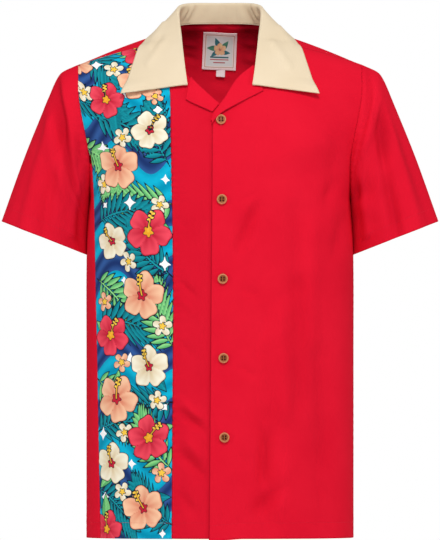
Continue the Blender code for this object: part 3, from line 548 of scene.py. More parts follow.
# %% Inks
PRINT_INKS = {  # each ink's deep and pale tone
    "navy": ("#1E356B", "#345C9C"),
    "teal": ("#0B6070", "#189AA8"),
    "green": ("#2E9A5C", "#93E08E"),
    "peach": ("#E07A5E", "#FAC9A4"),
    "red": ("#BC1430", "#F24C60"),
    "cream": ("#DCC294", "#F8F2DC"),
    "yellow": ("#EC9A1C", "#FFDD58"),
    "white": ("#E8F4F8", "#FFFFFF"),
}

# %% Lay inks on the flat panel
INK_REACH = 3.0  # millimetres from an ink's edge that are kept
PETALS = 5


def blank_design(shade):
    """A design with no ink yet, over a ground of this shade."""
    return {**{name: np.full(shade.shape, INK_REACH) for name in PRINT_INKS}, "shade": shade}


def cut_off(design):
    """The design with each distance cut off at the reach that the inks need."""
    return {name: np.clip(field, -INK_REACH, INK_REACH) for name, field in design.items()}


def print_shape(design, name, edge, shade):
    """Lays one ink inside an edge, a distance in mm below 0 inside, over all that is there."""
    for under in PRINT_INKS:
        if under != name:
            design[under] = np.maximum(design[under], -edge)
    design[name] = np.minimum(design[name], edge)
    design["shade"] = np.where(edge < 0.0, np.clip(shade, 0.0, 1.0), design["shade"])


def from_place(u, v, place, turn):
    """Offsets from a motif's place, along its own direction and aside from it."""
    a = math.radians(turn)
    x, y = u - place[0], v - place[1]
    return x * math.cos(a) + y * math.sin(a), y * math.cos(a) - x * math.sin(a)


def blade(along, aside, length, half_width):
    """The edge of a leaf that is pointed at both ends."""
    t = np.clip(along / length, 0.0, 1.0)
    edge = np.abs(aside) - half_width * np.sin(math.pi * t ** 0.8)
    return np.maximum(edge, np.maximum(-along, along - length))


def print_frond(design, u, v, place, size, turn, name):
    """A palm frond: a bent rib with narrow leaflets on both sides."""
    along, aside = from_place(u, v, place, turn)
    aside = aside - 0.35 * along * np.abs(along) / size
    leaflets = 11
    edge = np.full(u.shape, size)
    shade = np.full(u.shape, 0.2)
    for k in range(2 * leaflets):
        t = (k // 2 + 0.6 + 0.4 * (k % 2)) / leaflets
        lean = (68.0 - 42.0 * t) * (1 if k % 2 else -1)
        out, beside = from_place(along, aside, (t * size, 0.0), lean)
        length = 0.52 * size * math.sin(math.pi * (0.14 + 0.76 * t)) ** 0.8
        leaflet = blade(out, beside, length, 0.042 * size)
        across = np.clip(0.5 + beside / (0.05 * size), 0.0, 1.0)
        shade = np.where(leaflet < edge, 0.25 + 0.75 * across, shade)
        edge = np.minimum(edge, leaflet)
    rib = blade(along + 0.1 * size, aside, 1.15 * size, 0.02 * size)
    print_shape(design, name, np.minimum(edge, rib), np.where(rib < 0.0, 1.0, shade))


def print_leaf(design, u, v, place, size, turn, name):
    """A broad leaf with a pale rib and slanting veins."""
    along, aside = from_place(u, v, place, turn)
    aside = aside - 0.2 * along * along / size
    edge = blade(along, aside, size, 0.23 * size)
    veins = np.cos(2.0 * math.pi * (along - 0.9 * np.abs(aside)) / (0.12 * size))
    shade = 0.3 + 0.3 * (aside > 0.0) + 0.2 * (veins > 0.75)
    print_shape(design, name, edge, np.where(np.abs(aside) < 0.02 * size, 1.0, shade))


def from_heart(u, v, place):
    """Distances and bearings from the middle of a flower."""
    x, y = u - place[0], v - place[1]
    return np.hypot(x, y), np.degrees(np.arctan2(y, x))


def petal_lean(bearing, turn, k):
    """Degrees to either side of a petal's middle line."""
    return (bearing - turn - 360.0 / PETALS * k + 180.0) % 360.0 - 180.0


def print_hibiscus(design, u, v, place, size, turn, name):
    """Five broad ruffled petals round a dark heart, with one long stamen."""
    out, bearing = from_heart(u, v, place)
    for k in range(PETALS):
        lean = petal_lean(bearing, turn, k)
        spread = np.clip(np.abs(lean) / 46.0, 0.0, 1.0)
        ruffle = 1.0 + 0.04 * np.sin(np.radians(lean * 9.0) + 1.7 * k)
        rim = size * ruffle * (1.0 - spread ** 2.6) ** 0.5
        crease = np.clip((rim - out) / 2.5, 0.0, 1.0) if k else 1.0
        shade = 1.1 * out / size + 0.1 * np.cos(np.radians(lean * 11.0)) - 0.005 * lean
        print_shape(design, name, out - rim, shade * crease)
    heart = out - size * (0.2 + 0.05 * np.cos(np.radians((bearing - turn) * PETALS)))
    print_shape(design, "yellow" if name == "red" else "red", heart, 0.15)
    along, aside = from_place(u, v, place, turn + 42.0)
    aside = aside - 0.25 * along * along / size
    reach = 0.82 * size
    tube = np.hypot(along - np.clip(along, 0.0, reach), aside) - 0.045 * size
    print_shape(design, "yellow", tube, 0.4)
    for k in range(5):
        side = 1.0 if k % 2 else -1.0
        dot = np.hypot(along - reach * (0.62 + 0.1 * k), aside - side * 0.09 * size) - 0.065 * size
        print_shape(design, "yellow", dot, 1.0)


def print_plumeria(design, u, v, place, size, turn, name):
    """Five narrow petals that turn like a pinwheel, yellow at the heart."""
    out, bearing = from_heart(u, v, place)
    for k in range(PETALS):
        lean = petal_lean(bearing + 14.0 * out / size, turn, k)
        rim = size * (1.0 - np.clip(np.abs(lean) / 37.0, 0.0, 1.0) ** 2.2) ** 0.5
        print_shape(design, name, out - rim, 0.7 - 0.015 * lean)
    heart = out - size * (0.3 + 0.1 * np.cos(np.radians((bearing - turn) * PETALS)))
    print_shape(design, "yellow", heart, 0.7)


def print_star(design, u, v, place, size, turn, name):
    """A four-pointed sparkle."""
    along, aside = from_place(u, v, place, turn)
    bend = 0.58
    arms = (np.abs(along) ** bend + np.abs(aside) ** bend) ** (1.0 / bend) - size
    print_shape(design, name, arms, 1.0)


# %% Motifs and their places
WAVE_PITCH = 104.0
PRINT_MOTIFS = (  # each kind, then its places across and up from the hem, sizes, turns and inks
    (print_frond, (
        (130, 770, 86, 222, "teal"), (-5, 716, 84, 18, "green"), (123, 640, 92, 188, "teal"),
        (5, 560, 88, 55, "teal"), (130, 596, 77, 238, "green"), (0, 500, 92, -12, "green"),
        (128, 470, 90, 150, "teal"), (2, 392, 88, 25, "teal"), (130, 384, 81, 205, "green"),
        (125, 322, 92, 170, "teal"), (-2, 286, 86, 50, "green"), (132, 236, 88, 210, "green"),
        (2, 204, 90, -18, "teal"), (128, 160, 88, 152, "teal"), (0, 104, 86, 35, "green"),
        (130, 74, 84, 200, "teal"), (0, 22, 79, 24, "teal"), (162, 660, 80, 170, "teal"),
        (158, 590, 80, 200, "green"),
    )),
    (print_star, (
        (107, 728, 13, 0, "white"), (19, 640, 11, 0, "white"), (70, 668, 8, 45, "white"),
        (114, 590, 14, 0, "white"), (9, 534, 9, 0, "white"), (67, 500, 13, 0, "white"),
        (116, 496, 8, 45, "white"), (12, 408, 12, 0, "white"), (81, 384, 8, 0, "white"),
        (116, 350, 11, 0, "white"), (70, 268, 12, 0, "white"), (12, 196, 9, 45, "white"),
        (118, 156, 12, 0, "white"), (65, 112, 9, 0, "white"), (114, 62, 11, 0, "white"),
        (14, 8, 8, 0, "white"),
    )),
    (print_leaf, (
        (44, 700, 45, 150, "green"), (90, 650, 43, 255, "teal"), (28, 590, 41, 100, "green"),
        (88, 556, 48, 330, "teal"), (39, 470, 43, 190, "green"), (100, 428, 41, 60, "green"),
        (53, 350, 45, 125, "teal"), (97, 300, 45, 20, "green"), (39, 250, 43, 215, "teal"),
        (90, 206, 45, 80, "green"), (35, 150, 43, 140, "green"), (97, 108, 43, 300, "green"),
        (46, 56, 45, 160, "teal"), (107, 26, 41, 70, "green"),
    )),
    (print_plumeria, (
        (97, 768, 19, 10, "cream"), (81, 716, 16, 40, "cream"), (23, 662, 14, 0, "peach"),
        (77, 604, 16, 65, "cream"), (118, 528, 16, 20, "cream"), (19, 496, 15, 50, "cream"),
        (72, 412, 16, 5, "cream"), (16, 316, 16, 30, "cream"), (84, 262, 15, 60, "peach"),
        (116, 352, 15, 15, "peach"), (23, 206, 15, 35, "cream"), (77, 158, 15, 0, "cream"),
        (16, 98, 16, 25, "peach"), (81, 70, 15, 55, "cream"), (134, 676, 16, 15, "cream"),
    )),
    (print_hibiscus, (
        (139, 730, 27, 65, "peach"), (39, 748, 29, 20, "red"), (46, 690, 32, 10, "peach"),
        (100, 664, 29, 40, "red"), (32, 610, 30, 70, "cream"), (88, 556, 37, 20, "peach"),
        (37, 456, 36, 50, "red"), (102, 442, 28, 0, "cream"), (49, 362, 36, 30, "peach"),
        (104, 302, 31, 60, "red"), (37, 256, 32, 15, "cream"), (93, 208, 36, 45, "peach"),
        (37, 150, 34, 80, "red"), (100, 112, 31, 25, "cream"), (46, 46, 34, 5, "peach"),
        (109, 14, 29, 35, "red"),
    )),
)


def draw_print(u, v):
    """The fields of a tropical print on the flat panel: how far each point is from each ink."""
    swell = 2.0 * math.pi * v / WAVE_PITCH + 1.3 * np.sin(u / 20.0) + 0.7 * np.sin(v / 37.0)
    design = blank_design(0.5 + 0.5 * np.sin(3.0 * swell))
    print_shape(design, "navy", 9.0 * (np.sin(swell) + 0.1), 0.5 + 0.5 * np.cos(4.0 * swell))
    for draw, places in PRINT_MOTIFS:
        for across, up, size, turn, name in places:
            draw(design, u, v, (across, up), size, turn, name)
    return cut_off(design)


# %% Printed cotton
KEY_LINE, INK_BLEED = 0.55, 0.3
OUTLINED_INKS = ("teal", "green", "peach", "red", "cream", "yellow")


def lay_inks(tree, ground, inks):
    """The colour of all the inks, each over those before it, and how near an outlined edge is."""

    def tone(deep, pale):
        return add(tree, "Mix", {"Factor": shade, "A": ink(deep), "B": ink(pale)}, data_type="RGBA")

    def covering(distance, start, end):
        return add(tree, "MapRange", {"Value": distance, "From Min": start, "From Max": end, "To Min": 1.0,
                                      "To Max": 0.0}, interpolation_type="SMOOTHSTEP")

    shade = add(tree, "Attribute", out="Fac", attribute_name="shade")
    colour, nearest = tone(*ground), INK_REACH
    for name, tones in inks.items():
        edge = add(tree, "Attribute", out="Fac", attribute_name=name)
        cover = covering(edge, -INK_BLEED, INK_BLEED)
        colour = add(tree, "Mix", {"Factor": cover, "A": colour, "B": tone(*tones)}, data_type="RGBA")
        if name in OUTLINED_INKS:
            off = add(tree, "Math", {0: edge}, operation="ABSOLUTE")
            nearest = add(tree, "Math", {0: off, 1: nearest}, operation="MINIMUM")
    return colour, covering(nearest, KEY_LINE - INK_BLEED, KEY_LINE + INK_BLEED)


def printed(name, ground, inks, key):
    """White cotton with flat bright inks, and a dark key line over their edges."""
    material, tree, shader, *_ = woven(name, 0.85, 0.04, "#FFFFFF", 1.2)
    colour, line = lay_inks(tree, ground, inks)
    inked = add(tree, "Mix", {"Factor": line, "A": colour, "B": ink(key)}, data_type="RGBA")
    tree.links.new(inked, shader.inputs["Base Color"])
    return material


print_cotton = printed("rotary_printed_cotton", ("#0390B4", "#10B4D6"), PRINT_INKS, "#161A2C")
print("finishes:", [m.name for m in bpy.data.materials])

# %% [markdown]
# ## The body
# The back is one piece. The left front buttons over the right one, so it is lifted a little near
# its edge. The right front is cut in three upright strips, and the middle one is the printed panel.
# Every hem is turned up inside and sewn down: the grid goes round the edge and back up.

# %% Panel, hem and seam puckers
HEM_DEPTH_ROWS = 8
HEM_FOLD = 1.1
HEM_STITCH, CUFF_STITCH, EDGE_STITCH = 24.0, 22.0, 5.0
HEM_PUCKER, HEM_PUCKER_PITCH = 0.3, 9.0
GROOVE_REACH = 12.0
CALM_SEAM = 1.3  # a side seam or armhole is pressed, so its edge counts as this much further off, for its rounding and its painted shade
BODY_HOLLOW, SLEEVE_HOLLOW = 32.0, 8.0  # the depth of a fold whose hollow gets the full painted shade
UNDERARM_ROWS, UNDERARM_KEPT = (-8, 14), (0.84, 0.98)
red_seams, cream_seams, neck_seams = [], [], []


def pucker(distance, along, strength, pitch=11.0):
    """Short waves beside a seam, which fade a centimetre away from it."""
    phase = 1.9 * np.sin(along / 23.0) + 1.1 * np.sin(along / 9.1 + 2.0)
    uneven = 0.6 + 0.4 * np.sin(along / 31.0 + 1.0)
    return strength * uneven * np.sin(2.0 * math.pi * along / pitch + phase) * np.exp(-distance / 8.0)


def turn_hem(points, normals, rows):
    """The grid goes on round its first row and comes back inside, a little off the cloth."""
    inner = points[1:rows + 1][::-1] - normals[1:rows + 1][::-1] * HEM_FOLD
    down = points[0] - points[1]
    down /= np.linalg.norm(down, axis=-1, keepdims=True)
    folded = [points[0] - normals[0] * HEM_FOLD, points[0] - normals[0] * HEM_FOLD / 2.0 + down * 0.3]
    return np.concatenate([inner, np.array(folded), points], 0)


def round_hem(values, rows):
    """A number for each point of the plain grid, carried on round its hem."""
    return np.concatenate([values[1:rows + 1][::-1], values[:1], values[:1], values], 0)


def hem_marks(points, rows, width):
    """The flat pattern of a hemmed grid, and how far each point is from the hem's stitches."""
    pattern = flat_pattern(points)
    pattern[..., 1] -= pattern[rows + 1:rows + 2, :, 1]
    stitch = np.clip(np.abs(pattern[..., 1]) - width, -GROOVE_REACH, GROOVE_REACH)
    return pattern, stitch


def level_line(points, normals, values, value):
    """The line on which a mark that grows along the rows has a value: a point and normal a column."""
    j = np.argmax(values[1:] >= value, axis=0)
    i = np.arange(points.shape[1])
    low, high = values[j, i], values[j + 1, i]
    t = np.clip((value - low) / np.maximum(high - low, 1e-6), 0.0, 1.0)[:, None]
    return lerp(points[j, i], points[j + 1, i], t), lerp(normals[j, i], normals[j + 1, i], t)


def across_line(points, normals, values, value):
    """The same for a mark that grows along the columns: a point and normal a row."""
    return level_line(points.swapaxes(0, 1), normals.swapaxes(0, 1), values.T, value)


def soften_underarm(form, share, fineness):
    """The rows round the underarm, drawn again as one smooth curve up each column."""
    start, end = ((BODY_LEVELS + row) * fineness for row in UNDERARM_ROWS)
    count = end - start
    t = (np.arange(count + 1.0) / count)[:, None, None]
    rise = (form[start] - form[start - 1]) * count
    leave = (form[end + 1] - form[end]) * count
    curve = lerp(form[start], form[end], ease(t)) + rise * t * (1.0 - t) ** 2 - leave * t * t * (1.0 - t)
    low, high = UNDERARM_KEPT
    kept_share = ease((np.abs(share[start:end + 1]) - low) / (high - low))[..., None]
    form[start:end + 1] = lerp(curve, form[start:end + 1], kept_share)


def body_panel(name, back, side, zones, roll, slot="red_cotton", rows=ALL_ROWS, lift=None, drop=None,
               puckers=(0.5, 0.5), fineness=1, draw=None, sewn=(), shade=0.0):
    """A panel of the body, with its hem; side is 1 for the wearer's left, and shade is an even painted shade.
    """
    ends = column_ends(back, roll, zones)
    level = row_level(np.arange(rows * fineness + 1.0)[:, None] / fineness, ends[None, :])
    q = panel_shares(zones, level)
    form = form_point(back, q, level)
    soften_underarm(form, q, fineness)
    outward = (0.0, 1.0 if back else -1.0, 0.0)
    normal = unit_normals(form, outward)
    flat = flat_pattern(form)
    before, after = flat[..., 0], flat[:, -1:, 0] - flat[..., 0]
    folds, creases = (BACK_FOLDS, BACK_CREASES) if back else (FRONT_FOLDS, FRONT_CREASES)
    height = fold_height(folds, side * form[..., 0], form[..., 2])
    height += fold_height(creases, side * form[..., 0], form[..., 2], CREASE_END) * CREASE_DEPTH
    at_side_seam = np.abs(q[0, [0, -1]]) > 0.99
    pressed = 1.0 - 0.75 * ease((UNDERARM_Z + 10.0 - form[..., 2]) / 20.0)
    height += pucker(before, flat[..., 1], puckers[0]) * (pressed if at_side_seam[0] else 1.0)
    height += pucker(after, flat[..., 1] + 40.0, puckers[1]) * (pressed if at_side_seam[1] else 1.0)
    height += pucker(np.abs(flat[..., 1] - HEM_STITCH), flat[..., 0], HEM_PUCKER, HEM_PUCKER_PITCH)
    # painted shade: darker in the hollows of the folds, on top of the even painted shade that shade gives
    hollow = np.clip(shade - height / BODY_HOLLOW, 0.0, 1.0)
    if lift:
        height += lift(form[..., 0])
    points = form + normal * height[..., None]
    if drop:
        points[..., 2] -= drop(form[..., 0], level)
    if back:
        points += neck_tuck(points, ends)
    points[..., 0] *= side
    turned_rows = HEM_DEPTH_ROWS * fineness
    points = turn_hem(points, unit_normals(points, outward), turned_rows)
    normal = unit_normals(points, outward)
    pattern, stitch = hem_marks(points, turned_rows, HEM_STITCH)
    red_seams.append(level_line(points, normal, pattern[..., 1], HEM_STITCH))
    from_start, from_end = pattern[..., 0], pattern[:, -1:, 0] - pattern[..., 0]
    calm = CALM_SEAM * at_side_seam
    seam = np.minimum(from_start + calm[0], from_end + calm[1])
    seam = np.minimum(seam, pattern[-1:, :, 1] - pattern[..., 1])
    outer = slice(turned_rows + 2, None)
    for at_start, distance in sewn:
        off = from_start - distance if at_start else distance - from_end
        red_seams.append(across_line(points[outer], normal[outer], off[outer], 0.0))
        stitch = np.where(np.abs(off) < np.abs(stitch), np.abs(off), stitch)
    # the seam mark rounds the panel's edges and also gives them painted shade
    marks = {"stitch": stitch, "seam": np.minimum(seam, GROOVE_REACH)}
    marks["hollow"] = round_hem(hollow, turned_rows)
    if back:
        # painted shade by the neck, which the finish keeps to the inner side
        marks["painted_neck_shade"] = round_hem(neck_shade(form, ends), turned_rows)
    if draw:
        marks.update(draw(pattern[..., 0], pattern[..., 1]))
    finish = {"red_cotton": red_cotton, "print_cotton": print_cotton}[slot]
    piece = lay_cloth(name + "_cloth", points, outward, pattern, finish, CLOTH_WALL, marks)
    put_on(name, points)


def put_on(node, points):
    """Hides the solid that the piece stands for, and prints the size and area that it was cut to."""
    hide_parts(node)
    pattern = flat_pattern(points)
    width, length = pattern[..., 0].max() * MM, pattern[..., 1].max() * MM
    diagonals = np.cross(points[1:, 1:] - points[:-1, :-1], points[1:, :-1] - points[:-1, 1:])
    area = np.linalg.norm(diagonals, axis=-1).sum() / 2.0 * MM * MM
    cut = (round(width, 3), round(length, 3))
    area = min(round(float(area), 5), cut[0] * cut[1])
    print("  cut", cut, "area", area)


# %% The back and the fronts
EDGE_TOP_X, EDGE_HEM_X, RIGHT_EDGE_X = -11.5, -16.5, -14.0
OVERLAP_LIFT, OVERLAP_START, OVERLAP_END = 1.9, 20.0, 56.0
CORNER_DROP, CORNER_END_X = 4.0, 36.0
NECK_TUCK, TUCK_REACH, TUCK_END_X = 1.5, 7.0, 72.0
NECK_SHADE, NECK_SHADE_REACH, NECK_SHADE_X = 0.9, 104.0, (12.0, 40.0)


def front_edge(z):
    """The front edge lies past the middle, and a few millimetres further at the hem."""
    return lerp(EDGE_HEM_X, EDGE_TOP_X, np.minimum((z - HEM_Z) / (LEFT_ROLL[0][1] - HEM_Z), 1.0))


def overlap_lift(x):
    """The left front passes over the right one near the middle."""
    return OVERLAP_LIFT * (1.0 - ease((x - OVERLAP_START) / (OVERLAP_END - OVERLAP_START)))


def corner_drop(x, level):
    """The corner of the front on top hangs a little lower than the one below it."""
    return CORNER_DROP * ease((CORNER_END_X - x) / (CORNER_END_X - EDGE_HEM_X)) * ease(1.0 - level / 0.3)


def neck_tuck(points, ends):
    """The back's neckline turns up behind the foot of the collar, where the seam holds it."""
    edge = points[-1]
    aside = np.abs(edge[:, 0])
    foot = np.interp(aside, [row[1] for row in COLLAR_ROWS[:5]], [row[3] for row in COLLAR_ROWS[:5]])
    rise = np.maximum(foot + NECK_TUCK - edge[:, 2], 0.0) * (ends < 2.0) * ease((TUCK_END_X - aside) / 10.0)
    near = ease(1.0 - np.linalg.norm(points - edge, axis=-1) / TUCK_REACH)
    return near[..., None] * np.stack([0.0 * rise, 0.25 * rise, rise], -1)


def neck_shade(points, ends):
    """Painted shade for the back's inner side beside the collar's foot, where little light reaches."""
    near = ease(1.0 - np.linalg.norm(points - points[-1], axis=-1) / NECK_SHADE_REACH) * (ends < 2.0)
    start, full = NECK_SHADE_X
    return NECK_SHADE * near * ease((np.abs(points[..., 0]) - start) / (full - start))


def side_seam(level):
    """The share of the side seam and armhole at each level."""
    return np.ones_like(level)


def far_side_seam(level):
    """The share of the other side's seam, for a panel that crosses the middle."""
    return -np.ones_like(level)


neck_far, neck_near = (seam_line(True, lambda z, x=x: x) for x in (-NECK_HALF_WIDTH, NECK_HALF_WIDTH))
left_edge, left_neck = seam_line(False, front_edge), seam_line(False, lambda z: NECK_HALF_WIDTH)
right_edge = seam_line(False, lambda z: RIGHT_EDGE_X)
print_inner = seam_line(False, lambda z: read(PRINT_SEAMS, z)[1])
print_outer = seam_line(False, lambda z: read(PRINT_SEAMS, z)[2])
body_panel("back", True, 1.0, [(far_side_seam, 0), (neck_far, 40), (neck_near, 44), (side_seam, 40)], None)
body_panel("front_left", False, 1.0, [(left_edge, 0), (left_neck, 32), (side_seam, 48)], LEFT_ROLL,
           lift=overlap_lift, drop=corner_drop, puckers=(0.4, 0.7))
# the middle strip, which lies partly under the left front, gets an even painted shade
body_panel("front_right_center", False, -1.0, [(right_edge, 0), (print_inner, 34)], RIGHT_ROLL,
           puckers=(0.0, 1.3), sewn=[(False, 2.0)], shade=0.3)
body_panel("front_right_print", False, -1.0, [(print_inner, 0), (print_outer, 76)], RIGHT_ROLL,
           "print_cotton", puckers=(0.5, 0.2), fineness=2, draw=draw_print)
body_panel("front_right_side", False, -1.0, [(print_outer, 0), (side_seam, 16)], RIGHT_ROLL,
           rows=BODY_LEVELS + SIDE_LEVELS, puckers=(0.25, 0.4), sewn=[(True, 2.0)])

# %% [markdown]
# ## Sleeves
# A set-in sleeve is a tube whose top is cut to the armhole. Its columns start where the body's rows
# end, so the two edges meet all round, and its one seam is under the arm. Wide slanting creases, as
# in a sleeve that an arm has filled, are put in, and their hollows are marked for painted shade.

# %% The two sleeves
SLEEVE_STEPS = 90
CAP_PUCKER, CAP_PUCKER_PITCH, CAP_SEAM = 0.9, 13.0, 4.0


def make_sleeve(name, side, creases):
    """One sleeve with its cuff; side is 1 for the wearer's left."""
    top = row_level(np.arange(ALL_ROWS, BODY_LEVELS - 1.0, -1.0), np.full(ALL_ROWS - BODY_LEVELS + 1, 2.0))
    half = 180.0 * (2.0 - top)
    angle = np.concatenate([360.0 - half[::-1], half[1:]])[None, :]
    along = np.linspace(0.0, 1.0, SLEEVE_STEPS + 1)[:, None]
    both = np.broadcast_arrays(angle, along)
    form = ring_point(read(SLEEVE_ROWS, both[1]), both[0])
    normal = unit_normals(form, (0.3, -1.0, 0.0))
    flat = flat_pattern(form)
    creased = sleeve_fold(creases, angle, along, CREASE_FADE) * SLEEVE_CREASE_DEPTH
    height = sleeve_fold(SLEEVE_FOLDS, angle, along) + creased
    from_cap = flat[..., 1]
    height += pucker(from_cap, flat[..., 0], CAP_PUCKER, CAP_PUCKER_PITCH) * ease(from_cap / CAP_SEAM)
    points = form + normal * height[..., None]
    points[..., 0] *= side
    outward = (0.3 * side, -1.0, 0.0)
    points = points[::-1]
    points = turn_hem(points, unit_normals(points, outward), HEM_DEPTH_ROWS)
    pattern, stitch = hem_marks(points, HEM_DEPTH_ROWS, CUFF_STITCH)
    # the armhole's seam mark rounds it and gives it painted shade
    seam = np.minimum(pattern[-1:, :, 1] - pattern[..., 1] + CALM_SEAM, GROOVE_REACH)
    red_seams.append(level_line(points, unit_normals(points, outward), pattern[..., 1], CUFF_STITCH))
    # painted shade in the hollows of the sleeve's creases
    hollow = round_hem(np.clip(-creased[::-1] / SLEEVE_HOLLOW, 0.0, 1.0), HEM_DEPTH_ROWS)
    piece = lay_cloth(name + "_cloth", points, outward, pattern, red_cotton, CLOTH_WALL,
                      {"stitch": stitch, "seam": seam, "hollow": hollow}, closed=True)
    put_on(name, points)


make_sleeve("sleeve_left", 1.0, LEFT_SLEEVE_CREASES)
make_sleeve("sleeve_right", -1.0, RIGHT_SLEEVE_CREASES)

# %% [markdown]
# ## The camp collar
# A camp collar has no separate stand: one piece rises from the neck seam, rolls over and lies flat
# on the shoulders with two long points. Each table row is a cut square across it. The cloth is
# double, with an interlining, so it is thicker than the body's, and its edge is turned and rounded.

# %% Sections of the collar
COLLAR_WALL = 1.1
COLLAR_EDGE_REST = 3.2
STAND_STEPS, ROLL_STEPS, LEAF_STEPS, COLLAR_STATIONS = 8, 10, 34, 60


def unit(vectors):
    """The directions of vectors, each of length 1."""
    return vectors / np.linalg.norm(vectors, axis=-1, keepdims=True)


def collar_sections(along):
    """Rows of points across the collar: up its stand, round the roll and down the leaf."""
    row = read(COLLAR_ROWS, along)
    foot, fold, edge = (np.stack(row[k:k + 3], -1) for k in (1, 4, 7))
    ahead, behind = read(COLLAR_ROWS, along + 0.05), read(COLLAR_ROWS, along - 0.05)
    line = unit(np.stack(ahead[4:7] - behind[4:7], -1))
    stand, leaf = foot - fold, edge - fold
    stand = unit(stand - line * (stand * line).sum(-1, keepdims=True))
    leaf = unit(leaf - line * (leaf * line).sum(-1, keepdims=True))
    tip, outward = -unit(stand + leaf), unit(leaf - stand)
    radius = row[10][:, None]
    centre = fold - tip * radius
    turns = np.radians(np.linspace(180.0, 0.0, ROLL_STEPS + 1))
    roll = [centre + (outward * math.cos(a) + tip * math.sin(a)) * radius for a in turns]
    points = [lerp(foot, roll[0], k / STAND_STEPS) for k in range(STAND_STEPS)] + roll
    points += [lerp(roll[-1], edge, k / LEAF_STEPS) for k in range(1, LEAF_STEPS + 1)]
    return np.array(points), row[11], row[12]


def form_tree():
    """The plain form of the upper body as a surface to rest the collar on."""
    steps = 97
    share, level = np.meshgrid(np.linspace(-1.0, 1.0, steps), np.linspace(0.7, 2.0, steps))
    points, faces = [], []
    for back in (False, True):
        start = len(points)
        points += [Vector(p) for p in form_point(back, share, level).reshape(-1, 3)]
        for j in range(steps - 1):
            for i in range(steps - 1):
                corner = start + j * steps + i
                face = (corner, corner + 1, corner + steps + 1, corner + steps)
                faces.append(face[::-1] if back else face)
    return BVHTree.FromPolygons(points, faces)


def rest_on_form(tree, point, height):
    """The point, moved out along the form's face until it stands at least this high."""
    point = Vector(point)
    for _ in range(3):
        near, normal, _, _ = tree.find_nearest(point)
        above = (point - near).dot(normal)
        if above >= height:
            break
        point = point + normal * (height - above)
    return point


COLLAR_CREASES = (  # u from the middle and v from the foot at both ends, width, height
    (-56, 4, -38, 34, 3.5, 0.9), (-66, 8, -50, 30, 3, -0.8), (-30, 6, -24, 32, 3, -0.5),
    (-8, 2, -5, 30, 4, 0.5), (12, 4, 16, 34, 3.5, -0.5), (34, 4, 26, 32, 3.5, 0.7),
    (62, 2, 44, 30, 3, -0.9), (70, 8, 52, 34, 3.5, 0.9), (130, 60, 190, 84, 9, 0.66),
    (-120, 58, -200, 80, 9, 0.66), (170, 40, 240, 70, 8, -0.6), (-160, 44, -236, 76, 8, -0.6),
)
COLLAR_CREASE_END, COLLAR_CREASE_DEPTH = 8.0, 3.5
NECK_SEAM_END_X = 66.0
STAND_TOP, STAND_SHADE_MIDDLE = 32.0, 0.5  # the stand's painted shade: up to here, and its part in the middle
STAND_CORNER, STAND_END = (40.0, 62.0), (70.0, 84.0)  # from the middle: where the painted shade deepens, and where it fades out


def make_collar():
    """The collar with its stitched edges, resting on the form of the shoulders."""
    tree = form_tree()
    stations = np.abs(np.arange(-COLLAR_STATIONS, COLLAR_STATIONS + 1))
    along = stations / COLLAR_STATIONS * (len(COLLAR_ROWS) - 1)
    points, foot_rest, fold_rest = collar_sections(along)
    roll_middle = STAND_STEPS + ROLL_STEPS // 2
    for j in range(len(points)):
        if j > roll_middle:
            rest = lerp(fold_rest, COLLAR_EDGE_REST, (j - roll_middle) / (len(points) - 1 - roll_middle))
        else:
            rest = lerp(foot_rest, fold_rest, max(j - STAND_STEPS, 0) / (ROLL_STEPS / 2))
        points[j] = [rest_on_form(tree, p, h) for p, h in zip(points[j], rest)]
    points[:, :COLLAR_STATIONS, 0] *= -1.0
    outward = (0.0, 1.0, 0.0)
    pattern = flat_pattern(points)
    from_middle = pattern[..., 0] - pattern[:, COLLAR_STATIONS:COLLAR_STATIONS + 1, 0]
    raised = fold_height(COLLAR_CREASES, from_middle, pattern[..., 1], COLLAR_CREASE_END)
    points = points + unit_normals(points, outward) * np.abs(COLLAR_CREASE_DEPTH * raised)[..., None]
    to_edge = pattern[-1:, :, 1] - pattern[..., 1]
    to_end = np.minimum(pattern[..., 0], pattern[:, -1:, 0] - pattern[..., 0])
    leaf = STAND_STEPS + ROLL_STEPS
    on_leaf = np.arange(len(points))[:, None] > leaf
    border = np.where(on_leaf, np.minimum(to_edge, to_end), to_edge)
    stitch = np.clip(border - EDGE_STITCH, -GROOVE_REACH, GROOVE_REACH)
    normal = unit_normals(points, outward)
    line, line_normals = level_line(points, normal, -to_edge, -EDGE_STITCH)
    inside = to_end[-1] > EDGE_STITCH
    cream_seams.append((line[inside], line_normals[inside]))
    behind = (np.abs(points[0, :, 0]) < NECK_SEAM_END_X) & (points[0, :, 1] > 0.0)
    neck_seams.append((lerp(points[0], points[1], 0.2)[behind], normal[0][behind]))
    for flipped in (slice(None), slice(None, None, -1)):
        side_points, side_normals = points[leaf:, flipped], normal[leaf:, flipped]
        line, line_normals = across_line(side_points, side_normals, to_end[leaf:, flipped], EDGE_STITCH)
        inside = to_edge[leaf:, 0] > EDGE_STITCH
        cream_seams.append((line[inside], line_normals[inside]))
    # painted shade on the collar's stand, strongest near its corners
    aside = np.abs(from_middle)
    corner = ease((aside - STAND_CORNER[0]) / (STAND_CORNER[1] - STAND_CORNER[0]))
    hollow = lerp(STAND_SHADE_MIDDLE, 1.0, corner) * ease((STAND_TOP - pattern[..., 1]) / 6.0)
    hollow *= ease((STAND_END[1] - aside) / (STAND_END[1] - STAND_END[0]))
    # the border rounds the collar's edges and gives them a very faint painted shade
    piece = lay_cloth("collar_cloth", points, outward, pattern, cream_cotton, COLLAR_WALL,
                      {"stitch": stitch, "seam": np.minimum(border, GROOVE_REACH), "hollow": hollow})
    put_on("collar", points)


make_collar()

# %% [markdown]
# ## The lapels
# A lapel is the top of the front, turned back along its roll line. It is a piece of its own here,
# because the turn is tighter than the grid of the front could follow.

